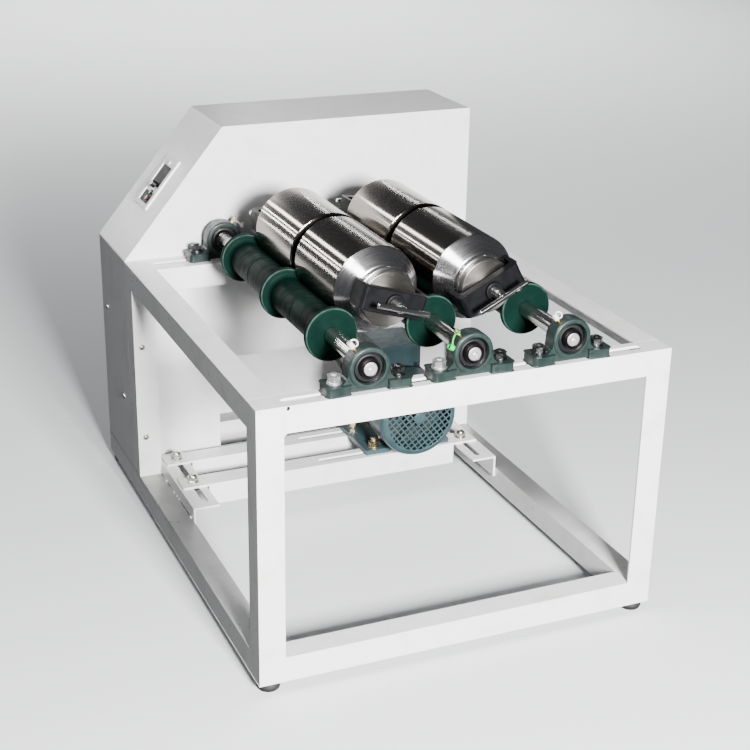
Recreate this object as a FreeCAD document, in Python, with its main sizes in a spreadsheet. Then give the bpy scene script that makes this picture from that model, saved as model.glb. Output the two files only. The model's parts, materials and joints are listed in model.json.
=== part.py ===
# Jar mill: a welded frame, three rollers in pillow blocks, four jars, a belt drive and its cover.
# Frame: origin at the centre of the footprint on the floor, +X along the front rail,
# +Y from the front to the cover, +Z up. Lengths in millimetres, angles in degrees.
import FreeCAD, Part
import math
import os
import Sketcher

doc = FreeCAD.newDocument("jar_mill")
sheet = doc.addObject("Spreadsheet::Sheet", "Sizes")

DRIVING_SIZES = {
    # frame
    "frame_width": 650, "frame_depth": 865, "frame_top": 445, "cover_front": 685,
    "foot_height": 15, "foot_radius": 18,
    "tube_size": 40, "tube_wall": 3, "angle_size": 40, "angle_wall": 4,
    "rear_rail_width": 62, "slot_width": 12, "slot_margin": 42, "slot_line": 21,
    "rear_slot_line": 28,
    # motor mount
    "bracket_reach": 236, "bracket_length": 225, "bracket_flange": 46, "bracket_top": 78,
    "bracket_slot_width": 10, "bracket_slot_margin": 16, "mount_rail_reach": 164,
    "mount_rail_pitch": 100, "mount_rail_gap": 4, "mount_leg_margin": 90,
    "mount_bolt_inset": 67, "mount_slot_lead": 25, "mount_slot_margin": 90,
    # motor
    "motor_inset": 180, "motor_height": 80, "motor_reach": 205, "cowl_radius": 74, "cowl_length": 66,
    "cowl_wall": 2, "stator_radius": 63, "fin_height": 9, "fin_thickness": 3, "stator_length": 126,
    "fin_total": 32, "bell_length": 18, "bell_radius": 70, "motor_foot_width": 164,
    "motor_foot_length": 126, "motor_foot_thickness": 9, "foot_hole_spacing": 125,
    "foot_leg_inner": 34, "foot_leg_width": 16, "foot_leg_margin": 12,
    "box_start": 17, "box_length": 88, "box_width": 82, "box_height": 38, "box_lid_height": 8,
    "box_lid_lip": 3, "box_foot_inset": 12, "gland_radius": 9, "gland_length": 14, "bell_hub_radius": 24,
    "rotor_radius": 9.5, "rotor_overhang": 10, "fan_radius": 60, "fan_length": 28,
    "fan_hub_radius": 20, "blade_total": 6, "grille_pitch": 11.5, "grille_hole": 8.5,
    "grille_turn": 54, "grille_margin": 8, "cowl_bevel": 10, "rotor_setback": 14, "blade_thickness": 3,
    # belt drive
    "belt_reach": 32, "motor_pulley_radius": 40, "driven_pulley_radius": 75, "pulley_width": 22,
    "belt_depth": 8, "belt_lift": 3, "groove_base": 7, "groove_mouth": 12.6, "groove_depth": 10,
    "belt_clearance": 0.3,
    # rollers and bearings
    "roller_pitch": 158, "shaft_radius": 12.5, "journal_radius": 10, "body_radius": 28,
    "disc_radius": 41, "disc_thickness": 12, "disc_shift": 6, "disc_pitch": 193, "disc_fillet": 5,
    "seam_depth": 1,
    "shaft_front": 5, "shaft_overhang": 6, "bearing_rise": 33.3, "housing_length": 127,
    "housing_width": 38, "housing_base": 14, "housing_radius": 31, "housing_ring_width": 27,
    "housing_pad": 34, "housing_relief": 2, "housing_shoulder": 26, "housing_flank": 30,
    "housing_flank_rise": 9, "housing_edge": 4, "bolt_spacing": 95,
    "housing_bolt_hole": 13, "insert_radius": 23.5, "insert_width": 17,
    "inner_ring_radius": 14.5, "inner_ring_width": 31,
    "running_clearance": 0.05, "bearing_bolt_radius": 5,
    # cover
    "cover_top": 665, "chamfer_width": 180, "sheet_thickness": 1.5,
    "cutout_lead": 162, "cutout_margin": 85, "cutout_bottom": 72, "cutout_top": 245,
    "shaft_hole_radius": 18, "vent_length": 60, "vent_height": 6, "vent_pitch": 16,
    "vent_column": 120,
    # control panel
    "bezel_start": 90, "bezel_length": 103, "bezel_width": 68, "bezel_height": 4,
    "display_start": 98, "display_length": 76, "display_width": 48,
    "knob_radius": 6.5, "knob_height": 9, "knob_place": 134, "button_radius": 4.2,
    "button_height": 4, "start_place": 120.5, "stop_place": 108,
    "button_offset": 8,
    # jars
    "jar_radius": 66, "jar_wall": 4, "jar_length": 161, "jar_gap": 9, "cone_length": 28,
    "neck_radius": 45, "groove_radius": 41.5, "groove_width": 6, "flange_thickness": 6,
    "mouth_radius": 35, "lid_thickness": 8.7, "lid_radius": 41.5,
    "jar_roller_gap": 0.3, "bottom_bevel": 6, "yoke_length": 102, "yoke_width": 36,
    "yoke_thickness": 12, "yoke_gap": 8, "hook_thickness": 4,
    "screw_radius": 8, "screw_reach": 42, "tbar_radius": 5, "tbar_length": 84,
    "screw_head_radius": 11, "screw_head_length": 19, "boss_height": 5, "yoke_bevel": 3, "yoke_play": 1,
}
for row, (name, number) in enumerate(DRIVING_SIZES.items(), start=1):
    sheet.set(f"A{row}", name)
    sheet.set(f"B{row}", str(number))
    sheet.setAlias(f"B{row}", name)
doc.recompute()


class Size:
    """A length with the sheet expression that it comes from, so both stay together."""

    def __init__(self, value, text):
        self.value = float(value)
        self.text = text

    def __add__(self, other):
        other = size(other)
        return Size(self.value + other.value, f"({self.text} + {other.text})")

    def __radd__(self, other):
        return size(other) + self

    def __sub__(self, other):
        other = size(other)
        return Size(self.value - other.value, f"({self.text} - {other.text})")

    def __rsub__(self, other):
        return size(other) - self

    def __mul__(self, other):
        other = size(other)
        return Size(self.value * other.value, f"({self.text} * {other.text})")

    def __rmul__(self, other):
        return size(other) * self

    def __truediv__(self, other):
        other = size(other)
        return Size(self.value / other.value, f"({self.text} / {other.text})")

    def __neg__(self):
        return Size(-self.value, f"(0 - {self.text})")


def size(number):
    """A plain number as a Size."""
    return number if isinstance(number, Size) else Size(number, repr(float(number)))


def root(length):
    """Square root of a Size."""
    return Size(math.sqrt(length.value), f"sqrt({length.text})")


class Sheet:
    """Driving sizes by name."""

    def __getattr__(self, name):
        return Size(DRIVING_SIZES[name], f"Sizes.{name}")


S = Sheet()
ZERO = size(0)
UPRIGHT = FreeCAD.Rotation()
FACE_FRONT = FreeCAD.Rotation(FreeCAD.Vector(1, 0, 0), 90)
FACE_SIDE = FreeCAD.Rotation(FreeCAD.Vector(1, 1, 1), 120)
nodes = []


def bind(item, **sizes):
    """Tie properties of an object to the sheet."""
    for prop, length in sizes.items():
        item.setExpression(prop, size(length).text)
    return item


def place(item, x=0, y=0, z=0, turn=UPRIGHT):
    """Put an object at a place that the sheet gives."""
    item.Placement = FreeCAD.Placement(FreeCAD.Vector(0, 0, 0), turn)
    for axis, length in (("x", x), ("y", y), ("z", z)):
        item.setExpression(f"Placement.Base.{axis}", size(length).text)
    return item


def node(item, label):
    """Keep an object as a named sub-part, moved so that the footprint is centred."""
    piece = place(group(f"{label}_piece", item), 0, -S.frame_depth / 2, 0)
    piece.Label = label
    nodes.append(piece)
    return piece


def box(name, low, high):
    """A block between two corners."""
    item = doc.addObject("Part::Box", name)
    spans = [size(b) - size(a) for a, b in zip(low, high)]
    bind(item, Length=spans[0], Width=spans[1], Height=spans[2])
    return place(item, *low)


def rod(name, radius, length, at, turn=UPRIGHT):
    """A round bar from a point, along the turned Z axis."""
    item = bind(doc.addObject("Part::Cylinder", name), Radius=radius, Height=length)
    return place(item, *at, turn=turn)


def join(name, *items):
    """Several shapes welded or cast as one."""
    item = doc.addObject("Part::MultiFuse", name)
    item.Shapes = list(items)
    return item


def cut(name, base, *tools):
    """A shape with others taken out of it."""
    tool = tools[0] if len(tools) == 1 else group(f"{name}_tools", *tools)
    item = doc.addObject("Part::Cut", name)
    item.Base = base
    item.Tool = tool
    return item


def group(name, *items):
    """Separate pieces held together as one object."""
    item = doc.addObject("Part::Compound", name)
    item.Links = list(items)
    return item


def outline(body, points, name="outline"):
    """A closed sketch of straight lines, each corner tied to the sheet."""
    sketch = body.newObject("Sketcher::SketchObject", name)
    plane = next(p for p in body.Origin.OriginFeatures if p.Role == "XY_Plane")
    sketch.AttachmentSupport = [(plane, "")]
    sketch.MapMode = "FlatFace"
    corners = [(size(x), size(y)) for x, y in points]
    places = [FreeCAD.Vector(x.value, y.value, 0) for x, y in corners]
    total = len(places)
    for index in range(total):
        sketch.addGeometry(Part.LineSegment(places[index], places[(index + 1) % total]), False)
    for index in range(total):
        sketch.addConstraint(Sketcher.Constraint("Coincident", index, 2, (index + 1) % total, 1))
    for index, corner in enumerate(corners):
        for kind, length, axis in (("DistanceX", corner[0], -2), ("DistanceY", corner[1], -1)):
            if length.value == 0:
                sketch.addConstraint(Sketcher.Constraint("PointOnObject", index, 1, axis))
            else:
                tie = Sketcher.Constraint(kind, -1, 1, index, 1, length.value)
                number = sketch.addConstraint(tie)
                sketch.setExpression(f"Constraints[{number}]", length.text)
    return sketch


def circles(body, rounds, name="rounds"):
    """A sketch of circles, given as centre x, centre y and radius."""
    sketch = body.newObject("Sketcher::SketchObject", name)
    plane = next(p for p in body.Origin.OriginFeatures if p.Role == "XY_Plane")
    sketch.AttachmentSupport = [(plane, "")]
    sketch.MapMode = "FlatFace"
    for x, y, radius in rounds:
        x, y, radius = size(x), size(y), size(radius)
        centre = FreeCAD.Vector(x.value, y.value, 0)
        circle = sketch.addGeometry(Part.Circle(centre, FreeCAD.Vector(0, 0, 1), radius.value), False)
        tie = sketch.addConstraint(Sketcher.Constraint("Radius", circle, radius.value))
        sketch.setExpression(f"Constraints[{tie}]", radius.text)
        for kind, length, axis in (("DistanceX", x, -2), ("DistanceY", y, -1)):
            if length.value == 0:
                sketch.addConstraint(Sketcher.Constraint("PointOnObject", circle, 3, axis))
            else:
                tie = sketch.addConstraint(Sketcher.Constraint(kind, -1, 1, circle, 3, length.value))
                sketch.setExpression(f"Constraints[{tie}]", length.text)
    return sketch


def body(name):
    """An empty body."""
    return doc.addObject("PartDesign::Body", name)


def pad(item, sketch, length, middle=False):
    """Extrude a sketch up from its plane, or evenly to both sides."""
    feature = item.newObject("PartDesign::Pad", f"{sketch.Name}_pad")
    feature.Profile = sketch
    feature.Midplane = middle
    return bind(feature, Length=length)


def pocket(item, sketch):
    """Cut a sketch through the whole body, to both sides of its plane."""
    feature = item.newObject("PartDesign::Pocket", f"{sketch.Name}_pocket")
    feature.Profile = sketch
    feature.Type = 1
    feature.Midplane = True
    return feature


def extrusion(name, points, length, at=(0, 0, 0), turn=UPRIGHT, middle=False):
    """A body of one outline and one length."""
    item = body(name)
    pad(item, outline(item, points, f"{name}_outline"), length, middle)
    return place(item, *at, turn=turn)


def turning(name, points, at=(0, 0, 0), turn=UPRIGHT):
    """A body turned about its Y axis from (radius, height) points."""
    item = body(name)
    sketch = outline(item, points, f"{name}_profile")
    feature = item.newObject("PartDesign::Revolution", f"{name}_turn")
    feature.Profile = sketch
    feature.ReferenceAxis = (sketch, ["V_Axis"])
    feature.Angle = 360
    return place(item, *at, turn=turn)


def copy_at(name, item, x=0, y=0, z=0, turn=UPRIGHT):
    """The same piece again at another place."""
    return place(group(name, item), x, y, z, turn)


def slot_tool(name, start, end, line, width, low, high):
    """A long hole along X with round ends, from one height to another."""
    radius = size(width) / 2
    middle = box(f"{name}_middle", (start + radius, line - radius, low), (end - radius, line + radius, high))
    ends = [
        rod(f"{name}_end{index}", radius, size(high) - low, (x, line, low))
        for index, x in enumerate((start + radius, end - radius))
    ]
    return join(name, middle, *ends)


HALF = S.frame_width / 2
LEFT = -HALF
BACK = S.frame_depth
RAIL_TOP = S.foot_height + S.tube_size
FLANGE_BOTTOM = S.frame_top - S.angle_wall
ROLLER_Z = S.frame_top + S.bearing_rise
ROLLERS_X = [-S.roller_pitch, ZERO, S.roller_pitch]
REAR_RAIL_Y = S.cover_front - S.rear_rail_width
FRONT_BEARING_Y = S.slot_line
REAR_BEARING_Y = S.cover_front - S.rear_slot_line
MIDDLE_DISC = (FRONT_BEARING_Y + REAR_BEARING_Y) / 2 + S.disc_shift
MOTOR_X = HALF - S.motor_inset
MOUNT_RAIL_Y = S.cover_front - S.mount_rail_reach
MOTOR_FRONT = S.cover_front - S.motor_reach
BELT_Y = S.cover_front + S.belt_reach
ROTOR_END = BELT_Y + S.pulley_width / 2 + S.rotor_overhang
BEZEL_Y = (S.cover_front + BACK) / 2


def mitred_tube(name, length, at, turn):
    """A square tube whose ends are cut at 45 degrees."""
    side, wall = S.tube_size, S.tube_wall
    outer = extrusion(f"{name}_outer", [(0, 0), (length, 0), (length - side, side), (side, side)], side)
    hollow = [(0, wall), (length, wall), (length - side + wall, side - wall), (side - wall, side - wall)]
    inner = extrusion(f"{name}_inner", hollow, side - 2 * wall, (0, 0, wall))
    return place(cut(name, outer, inner), *at, turn=turn)


def make_base():
    """Four square tubes welded into the base rectangle."""
    quarter = [FreeCAD.Rotation(FreeCAD.Vector(0, 0, 1), 90 * index) for index in range(4)]
    level = S.foot_height
    tubes = [
        mitred_tube("front_tube", S.frame_width, (LEFT, 0, level), quarter[0]),
        mitred_tube("right_tube", BACK, (HALF, 0, level), quarter[1]),
        mitred_tube("rear_tube", S.frame_width, (HALF, BACK, level), quarter[2]),
        mitred_tube("left_tube", BACK, (LEFT, BACK, level), quarter[3]),
    ]
    node(group("base_group", *tubes), "base_rails")


def angle_post(name, side, front, foot, top, inset=0):
    """An upright angle with its corner outwards at the front left (-1) or front right (1)."""
    wide, wall = S.angle_size, S.angle_wall
    corner = [(0, 0), (wide, 0), (wide, wall), (wall, wall), (wall, wide), (0, wide)]
    points = [(-x, y) for x, y in reversed(corner)] if side > 0 else corner
    edge = HALF - inset if side > 0 else LEFT + inset
    return extrusion(name, points, top - foot, (edge, front, foot))


def make_posts():
    """Front, middle and rear uprights, one pair each."""
    rear_front = BACK - S.sheet_thickness - S.angle_size
    rows = (
        ("front_posts", ZERO, FLANGE_BOTTOM, 0),
        ("middle_posts", S.cover_front - S.angle_size, FLANGE_BOTTOM, 0),
        ("rear_posts", rear_front, S.frame_top, S.sheet_thickness),
    )
    for label, front, top, inset in rows:
        pair = [angle_post(f"{label}_{k}", side, front, RAIL_TOP, top, inset) for k, side in enumerate((-1, 1))]
        node(group(f"{label}_group", *pair), label)


def make_top_rails():
    """Side angles, and the two slotted rails that carry the bearings."""
    wide, wall, top = S.angle_size, S.angle_wall, S.frame_top
    middle_post = S.cover_front - wide
    sides = []
    for index, side in enumerate((-1, 1)):
        outer = HALF if side > 0 else LEFT
        flat_x = (outer - wide, outer) if side > 0 else (outer, outer + wide)
        leg_x = (outer - wall, outer) if side > 0 else (outer, outer + wall)
        flat = box(f"side_flat{index}", (flat_x[0], wide, FLANGE_BOTTOM), (flat_x[1], REAR_RAIL_Y, top))
        leg = box(f"side_leg{index}", (leg_x[0], wide, top - wide), (leg_x[1], middle_post, FLANGE_BOTTOM))
        sides.append(join(f"side_angle{index}", flat, leg))
    node(group("side_rails", *sides), "side_top_rails")

    flat = box("front_flat", (LEFT, 0, FLANGE_BOTTOM), (HALF, wide, top))
    leg = box("front_leg", (LEFT + wide, 0, top - wide), (HALF - wide, wall, FLANGE_BOTTOM))
    angle = join("front_angle", flat, leg)
    slot = slot_tool("front_slot", LEFT + S.slot_margin, HALF - S.slot_margin, S.slot_line,
                     S.slot_width, FLANGE_BOTTOM - 1, top + 1)
    node(cut("front_rail", angle, slot), "front_bearing_rail")

    flat = box("rear_flat", (LEFT, REAR_RAIL_Y, FLANGE_BOTTOM), (HALF, S.cover_front, top))
    leg = box("rear_leg", (LEFT + wall, REAR_RAIL_Y, top - wide), (HALF - wall, REAR_RAIL_Y + wall, FLANGE_BOTTOM))
    angle = join("rear_angle", flat, leg)
    slot = slot_tool("rear_slot", LEFT + S.slot_margin, HALF - S.slot_margin, REAR_BEARING_Y,
                     S.slot_width, FLANGE_BOTTOM - 1, top + 1)
    node(cut("rear_rail", angle, slot), "rear_bearing_rail")


def make_feet():
    """Rubber pads under the four corners."""
    inset = S.tube_size / 2
    rim = [(0, 0), (S.foot_radius, 0), (S.foot_radius - 2, S.foot_height), (0, S.foot_height)]
    corners = [(x, y) for x in (LEFT + inset, HALF - inset) for y in (inset, BACK - inset)]
    pads = [turning(f"pad{index}", rim, (x, y, 0), FACE_FRONT) for index, (x, y) in enumerate(corners)]
    node(group("pads", *pads), "levelling_feet")


def make_motor_mount():
    """Slotted angle brackets on the side tubes, and the two angles that cross between them."""
    wall, top = S.angle_wall, S.bracket_top
    start = S.cover_front - S.bracket_reach
    end = start + S.bracket_length
    inner = HALF - S.tube_size
    brackets = []
    for index, side in enumerate((-1, 1)):
        leg_x = (inner - wall, inner) if side > 0 else (-inner, wall - inner)
        flat_x = (inner - S.bracket_flange, inner) if side > 0 else (-inner, S.bracket_flange - inner)
        leg = box(f"bracket_leg{index}", (leg_x[0], start, top - S.angle_size), (leg_x[1], end, top - wall))
        flat = box(f"bracket_flat{index}", (flat_x[0], start, top - wall), (flat_x[1], end, top))
        radius = S.bracket_slot_width / 2
        line = (HALF - S.mount_bolt_inset) * side
        near, far = start + S.bracket_slot_margin + radius, end - S.bracket_slot_margin - radius
        slot = join(
            f"bracket_slot{index}",
            box(f"bracket_gap{index}", (line - radius, near, top - wall - 1), (line + radius, far, top + 1)),
            rod(f"bracket_near{index}", radius, wall + 2, (line, near, top - wall - 1)),
            rod(f"bracket_far{index}", radius, wall + 2, (line, far, top - wall - 1)),
        )
        brackets.append(cut(f"bracket{index}", join(f"bracket_angle{index}", leg, flat), slot))
    node(group("brackets", *brackets), "motor_brackets")

    for index, label in enumerate(("motor_rail_front", "motor_rail_rear")):
        front = MOUNT_RAIL_Y + S.mount_rail_pitch * index
        line = front + S.angle_size / 2
        edge = inner - S.mount_rail_gap
        leg_edge = HALF - S.mount_leg_margin
        flat = box(f"{label}_flat", (-edge, front, top), (edge, front + S.angle_size, top + wall))
        leg = box(f"{label}_leg", (-leg_edge, front, top + wall - S.angle_size), (leg_edge, front + wall, top))
        slot = slot_tool(f"{label}_slot", -S.mount_slot_lead, HALF - S.mount_slot_margin, line,
                         S.bracket_slot_width, top - 1, top + wall + 1)
        holes = [
            rod(f"{label}_hole{k}", S.bracket_slot_width / 2, wall + 2,
                ((HALF - S.mount_bolt_inset) * side, line, top - 1))
            for k, side in enumerate((-1, 1))
        ]
        node(cut(f"{label}_cut", join(f"{label}_angle", flat, leg), slot, *holes), label)


def hexagon(name, across, height, at):
    """A six-sided nut or bolt head."""
    item = bind(doc.addObject("Part::Prism", name), Circumradius=across / math.sqrt(3), Height=height)
    item.Polygon = 6
    return place(item, *at)


def bolt_set(name, x, y, seat, grip, radius):
    """Bolt and nut through one stack of plates, the nut on top."""
    nut_height, head_height = radius * 2, radius * 1.3
    bottom = seat - grip
    return join(
        name,
        rod(f"{name}_shank", radius - 0.2, grip + nut_height / 2, (x, y, bottom)),
        hexagon(f"{name}_nut", radius * 3.4, nut_height, (x, y, seat)),
        hexagon(f"{name}_head", radius * 3.4, head_height, (x, y, bottom - head_height)),
    )


MOTOR_Z = S.bracket_top + S.angle_wall + S.motor_height
STATOR_FRONT = MOTOR_FRONT + S.cowl_length
STATOR_BACK = STATOR_FRONT + S.stator_length
FOOT_FRONT = MOUNT_RAIL_Y + S.angle_size / 2 - (S.motor_foot_length - S.mount_rail_pitch) / 2


def make_mount_bolts():
    """Bolts of the cross rails at the brackets, and of the motor feet."""
    top = S.bracket_top + S.angle_wall
    bolts = []
    for row in range(2):
        y = MOUNT_RAIL_Y + S.mount_rail_pitch * row + S.angle_size / 2
        for side in (-1, 1):
            x = (HALF - S.mount_bolt_inset) * side
            name = f"rail_bolt{row}{side + 1}"
            bolts.append(bolt_set(name, x, y, top, 2 * S.angle_wall, S.bracket_slot_width / 2))
            x = MOTOR_X + S.foot_hole_spacing / 2 * side
            name = f"foot_bolt{row}{side + 1}"
            bolts.append(bolt_set(name, x, y, top + S.motor_foot_thickness,
                                  S.motor_foot_thickness + S.angle_wall, S.bracket_slot_width / 2))
    node(group("mount_bolts", *bolts), "motor_mount_bolts")


def make_motor():
    """A foot-mounted induction motor with its fan cowl to the front."""
    x, z = MOTOR_X, MOTOR_Z
    base = S.bracket_top + S.angle_wall
    stator = rod("stator", S.stator_radius, S.stator_length, (x, STATOR_BACK, z), FACE_FRONT)
    fin = box("fin", (x - S.fin_thickness / 2, STATOR_FRONT, z + S.stator_radius - 2),
              (x + S.fin_thickness / 2, STATOR_BACK, z + S.stator_radius + S.fin_height))
    fins = []
    for index in range(1, DRIVING_SIZES["fin_total"]):
        angle = 360 * index / DRIVING_SIZES["fin_total"]
        if 140 < angle < 220 or angle < 36 or angle > 324:
            continue
        turned = group(f"fin{index}", fin)
        turn = FreeCAD.Rotation(FreeCAD.Vector(0, 1, 0), angle)
        sine, cosine = math.sin(math.radians(angle)), math.cos(math.radians(angle))
        place(turned, x - (x * cosine + z * sine), 0, z - (z * cosine - x * sine), turn)
        fins.append(turned)
    feet = []
    for index, side in enumerate((-1, 1)):
        inner, outer, level = S.foot_leg_inner, S.motor_foot_width / 2, base + S.motor_foot_thickness
        web = inner + S.foot_leg_width
        foot_x = (inner, outer) if side > 0 else (-outer, -inner)
        web_x = (inner, web) if side > 0 else (-web, -inner)
        feet.append(box(f"foot{index}", (x + foot_x[0], FOOT_FRONT, base),
                        (x + foot_x[1], FOOT_FRONT + S.motor_foot_length, level)))
        feet.append(box(f"foot_web{index}", (x + web_x[0], STATOR_FRONT, level),
                        (x + web_x[1], FOOT_FRONT + S.motor_foot_length - S.foot_leg_margin,
                         z - S.stator_radius / 3)))
    inset, box_front = S.box_foot_inset, STATOR_FRONT + S.box_start
    neck = S.box_width / 2 - inset
    pedestal = box("box_pedestal", (x - neck, box_front + inset, z + S.stator_radius - S.fin_height),
                   (x + neck, box_front + S.box_length - inset, z + S.stator_radius + S.fin_height))
    holes = [
        rod(f"foot_hole{row}{side + 1}", S.bracket_slot_width / 2, S.motor_foot_thickness + 2,
            (x + S.foot_hole_spacing / 2 * side, MOUNT_RAIL_Y + S.mount_rail_pitch * row + S.angle_size / 2,
             base - 1))
        for row in range(2) for side in (-1, 1)
    ]
    bore = rod("stator_bore", S.rotor_radius + S.running_clearance, S.stator_length + 2,
               (x, STATOR_BACK + 1, z), FACE_FRONT)
    frame = cut("motor_casting", join("motor_solid", stator, *fins, *feet, pedestal), bore, *holes)
    node(frame, "motor_frame")

    hole = S.rotor_radius + S.running_clearance
    drive_bell = turning("drive_bell", [
        (hole, 0), (S.bell_radius, 0), (S.bell_radius, S.bell_length / 3), (S.bell_hub_radius, S.bell_length),
        (hole, S.bell_length)], (x, STATOR_BACK, z))
    fan_bell = turning("fan_bell", [
        (hole, 0), (S.bell_hub_radius, 0), (S.bell_radius - 5, S.bell_length), (hole, S.bell_length)],
        (x, STATOR_FRONT - S.bell_length, z))
    node(group("bells", fan_bell, drive_bell), "motor_end_bells")

    wall, length, radius, bevel = S.cowl_wall, S.cowl_length, S.cowl_radius, S.cowl_bevel
    shell = turning("cowl_shell", [
        (0, 0), (radius - bevel, 0), (radius, bevel), (radius, length), (radius - wall, length),
        (radius - wall, bevel + 1), (radius - bevel - 1, wall), (0, wall)], (x, MOTOR_FRONT, z))
    holes = []
    limit = int(S.cowl_radius.value / S.grille_pitch.value)
    for column in range(-limit, limit + 1):
        for line in range(-limit, limit + 1):
            reach = math.hypot(abs(column) + 0.5, abs(line) + 0.5) * S.grille_pitch.value
            if reach < (S.cowl_radius - S.grille_margin).value:
                left, low, half = S.grille_pitch * column, S.grille_pitch * line, S.grille_hole / 2
                holes.append(box(f"mesh{column + limit}_{line + limit}", (left - half, -1, low - half),
                                 (left + half, wall + 1, low + half)))
    turn = FreeCAD.Rotation(FreeCAD.Vector(0, 1, 0), S.grille_turn.value)
    grille = copy_at("grille", group("mesh", *holes), x, MOTOR_FRONT, z, turn)
    node(cut("cowl", shell, grille), "motor_cowl")

    rest, half, lip = z + S.stator_radius + S.fin_height, S.box_width / 2, S.box_lid_lip
    box_back = box_front + S.box_length
    rim = rest + S.box_height - S.box_lid_height
    case = box("terminal_case", (x - half + lip, box_front + lip, rest), (x + half - lip, box_back - lip, rim))
    lid = box("terminal_lid", (x - half, box_front, rim), (x + half, box_back, rest + S.box_height))
    gland = rod("terminal_gland", S.gland_radius, S.gland_length,
                (x + half - lip, (box_front + box_back) / 2, (rest + rim) / 2),
                FreeCAD.Rotation(FreeCAD.Vector(0, 1, 0), 90))
    node(join("terminal", case, lid, gland), "motor_terminal_box")

    rotor_front = MOTOR_FRONT + S.rotor_setback
    shaft = rod("rotor", S.rotor_radius, ROTOR_END - rotor_front, (x, ROTOR_END, z), FACE_FRONT)
    node(shaft, "motor_shaft")
    thick = S.blade_thickness
    fan_front, web = rotor_front + 2, S.fan_length - thick
    hub = turning("fan_hub", [(S.rotor_radius, 0), (S.fan_hub_radius, 0), (S.fan_hub_radius, web),
                              (S.fan_radius, web), (S.fan_radius, S.fan_length), (S.rotor_radius, S.fan_length)],
                  (x, fan_front, z))
    blade = box("blade", (x + S.fan_hub_radius - 2, fan_front + 4, z - thick / 2),
                (x + S.fan_radius, fan_front + web + 1, z + thick / 2))
    blades = []
    for index in range(DRIVING_SIZES["blade_total"]):
        angle = 360 * index / DRIVING_SIZES["blade_total"]
        turned = group(f"blade{index}", blade)
        sine, cosine = math.sin(math.radians(angle)), math.cos(math.radians(angle))
        place(turned, x - (x * cosine + z * sine), 0, z - (z * cosine - x * sine),
              FreeCAD.Rotation(FreeCAD.Vector(0, 1, 0), angle))
        blades.append(turned)
    node(join("fan", hub, *blades), "motor_fan")


def pulley(name, radius, bore, x, z):
    """A single V pulley with its hub."""
    half = S.pulley_width / 2
    mouth, floor, depth = S.groove_mouth / 2, S.groove_base / 2, S.groove_depth
    return turning(name, [
        (bore, -half), (radius, -half), (radius, -mouth), (radius - depth, -floor),
        (radius - depth, floor), (radius, mouth), (radius, half), (bore, half)],
        (x, BELT_Y, z))


def make_belt_drive():
    """Motor pulley, driven pulley on the middle roller, and the V-belt round them."""
    node(pulley("small_pulley", S.motor_pulley_radius, S.rotor_radius, MOTOR_X, MOTOR_Z), "motor_pulley")
    node(pulley("large_pulley", S.driven_pulley_radius, S.journal_radius, 0, ROLLER_Z), "driven_pulley")
    seat = (S.groove_depth - S.belt_lift).value
    small = S.motor_pulley_radius.value - seat
    large = S.driven_pulley_radius.value - seat
    across, rise = MOTOR_X.value, (ROLLER_Z - MOTOR_Z).value
    reach = math.hypot(across, rise)
    tilt = math.asin((large - small) / reach)
    line = math.atan2(across, -rise)

    def loop(extra):
        """Outline round both pulleys, this far out from the belt's inner face."""
        points = []
        for side in (1, -1):
            angle = line + side * (math.pi / 2 - tilt)
            direction = FreeCAD.Vector(math.sin(angle), 0, math.cos(angle))
            top = FreeCAD.Vector(0, 0, ROLLER_Z.value) + direction * (large + extra)
            low = FreeCAD.Vector(across, 0, MOTOR_Z.value) + direction * (small + extra)
            points.append((top, low))
        forward = FreeCAD.Vector(math.sin(line), 0, math.cos(line))
        crown = FreeCAD.Vector(0, 0, ROLLER_Z.value) - forward * (large + extra)
        base = FreeCAD.Vector(across, 0, MOTOR_Z.value) + forward * (small + extra)
        (top_a, low_a), (top_b, low_b) = points
        return Part.Wire([
            Part.LineSegment(top_a, low_a).toShape(), Part.Arc(low_a, base, low_b).toShape(),
            Part.LineSegment(low_b, top_b).toShape(), Part.Arc(top_b, crown, top_a).toShape()])

    depth = S.belt_depth.value
    flare = ((S.groove_mouth - S.groove_base) / 2 / S.groove_depth).value
    narrow = (S.groove_base / 2 - S.belt_clearance).value + flare * S.belt_lift.value
    wide = narrow + flare * depth
    inner, outer = loop(0), loop(depth)
    rings = []
    for wire, half in ((inner, narrow), (outer, wide)):
        for offset in (-half, half):
            ring = wire.copy()
            ring.translate(FreeCAD.Vector(0, BELT_Y.value + offset, 0))
            rings.append(ring)
    faces = []
    for first, second in ((0, 1), (1, 3), (3, 2), (2, 0)):
        faces.extend(Part.makeLoft([rings[first], rings[second]], False, True).Faces)
    shell = Part.Shell(faces)
    shell.sewShape()
    belt = doc.addObject("Part::Feature", "belt")
    belt.Shape = Part.Solid(shell)
    node(belt, "v_belt")


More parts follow.
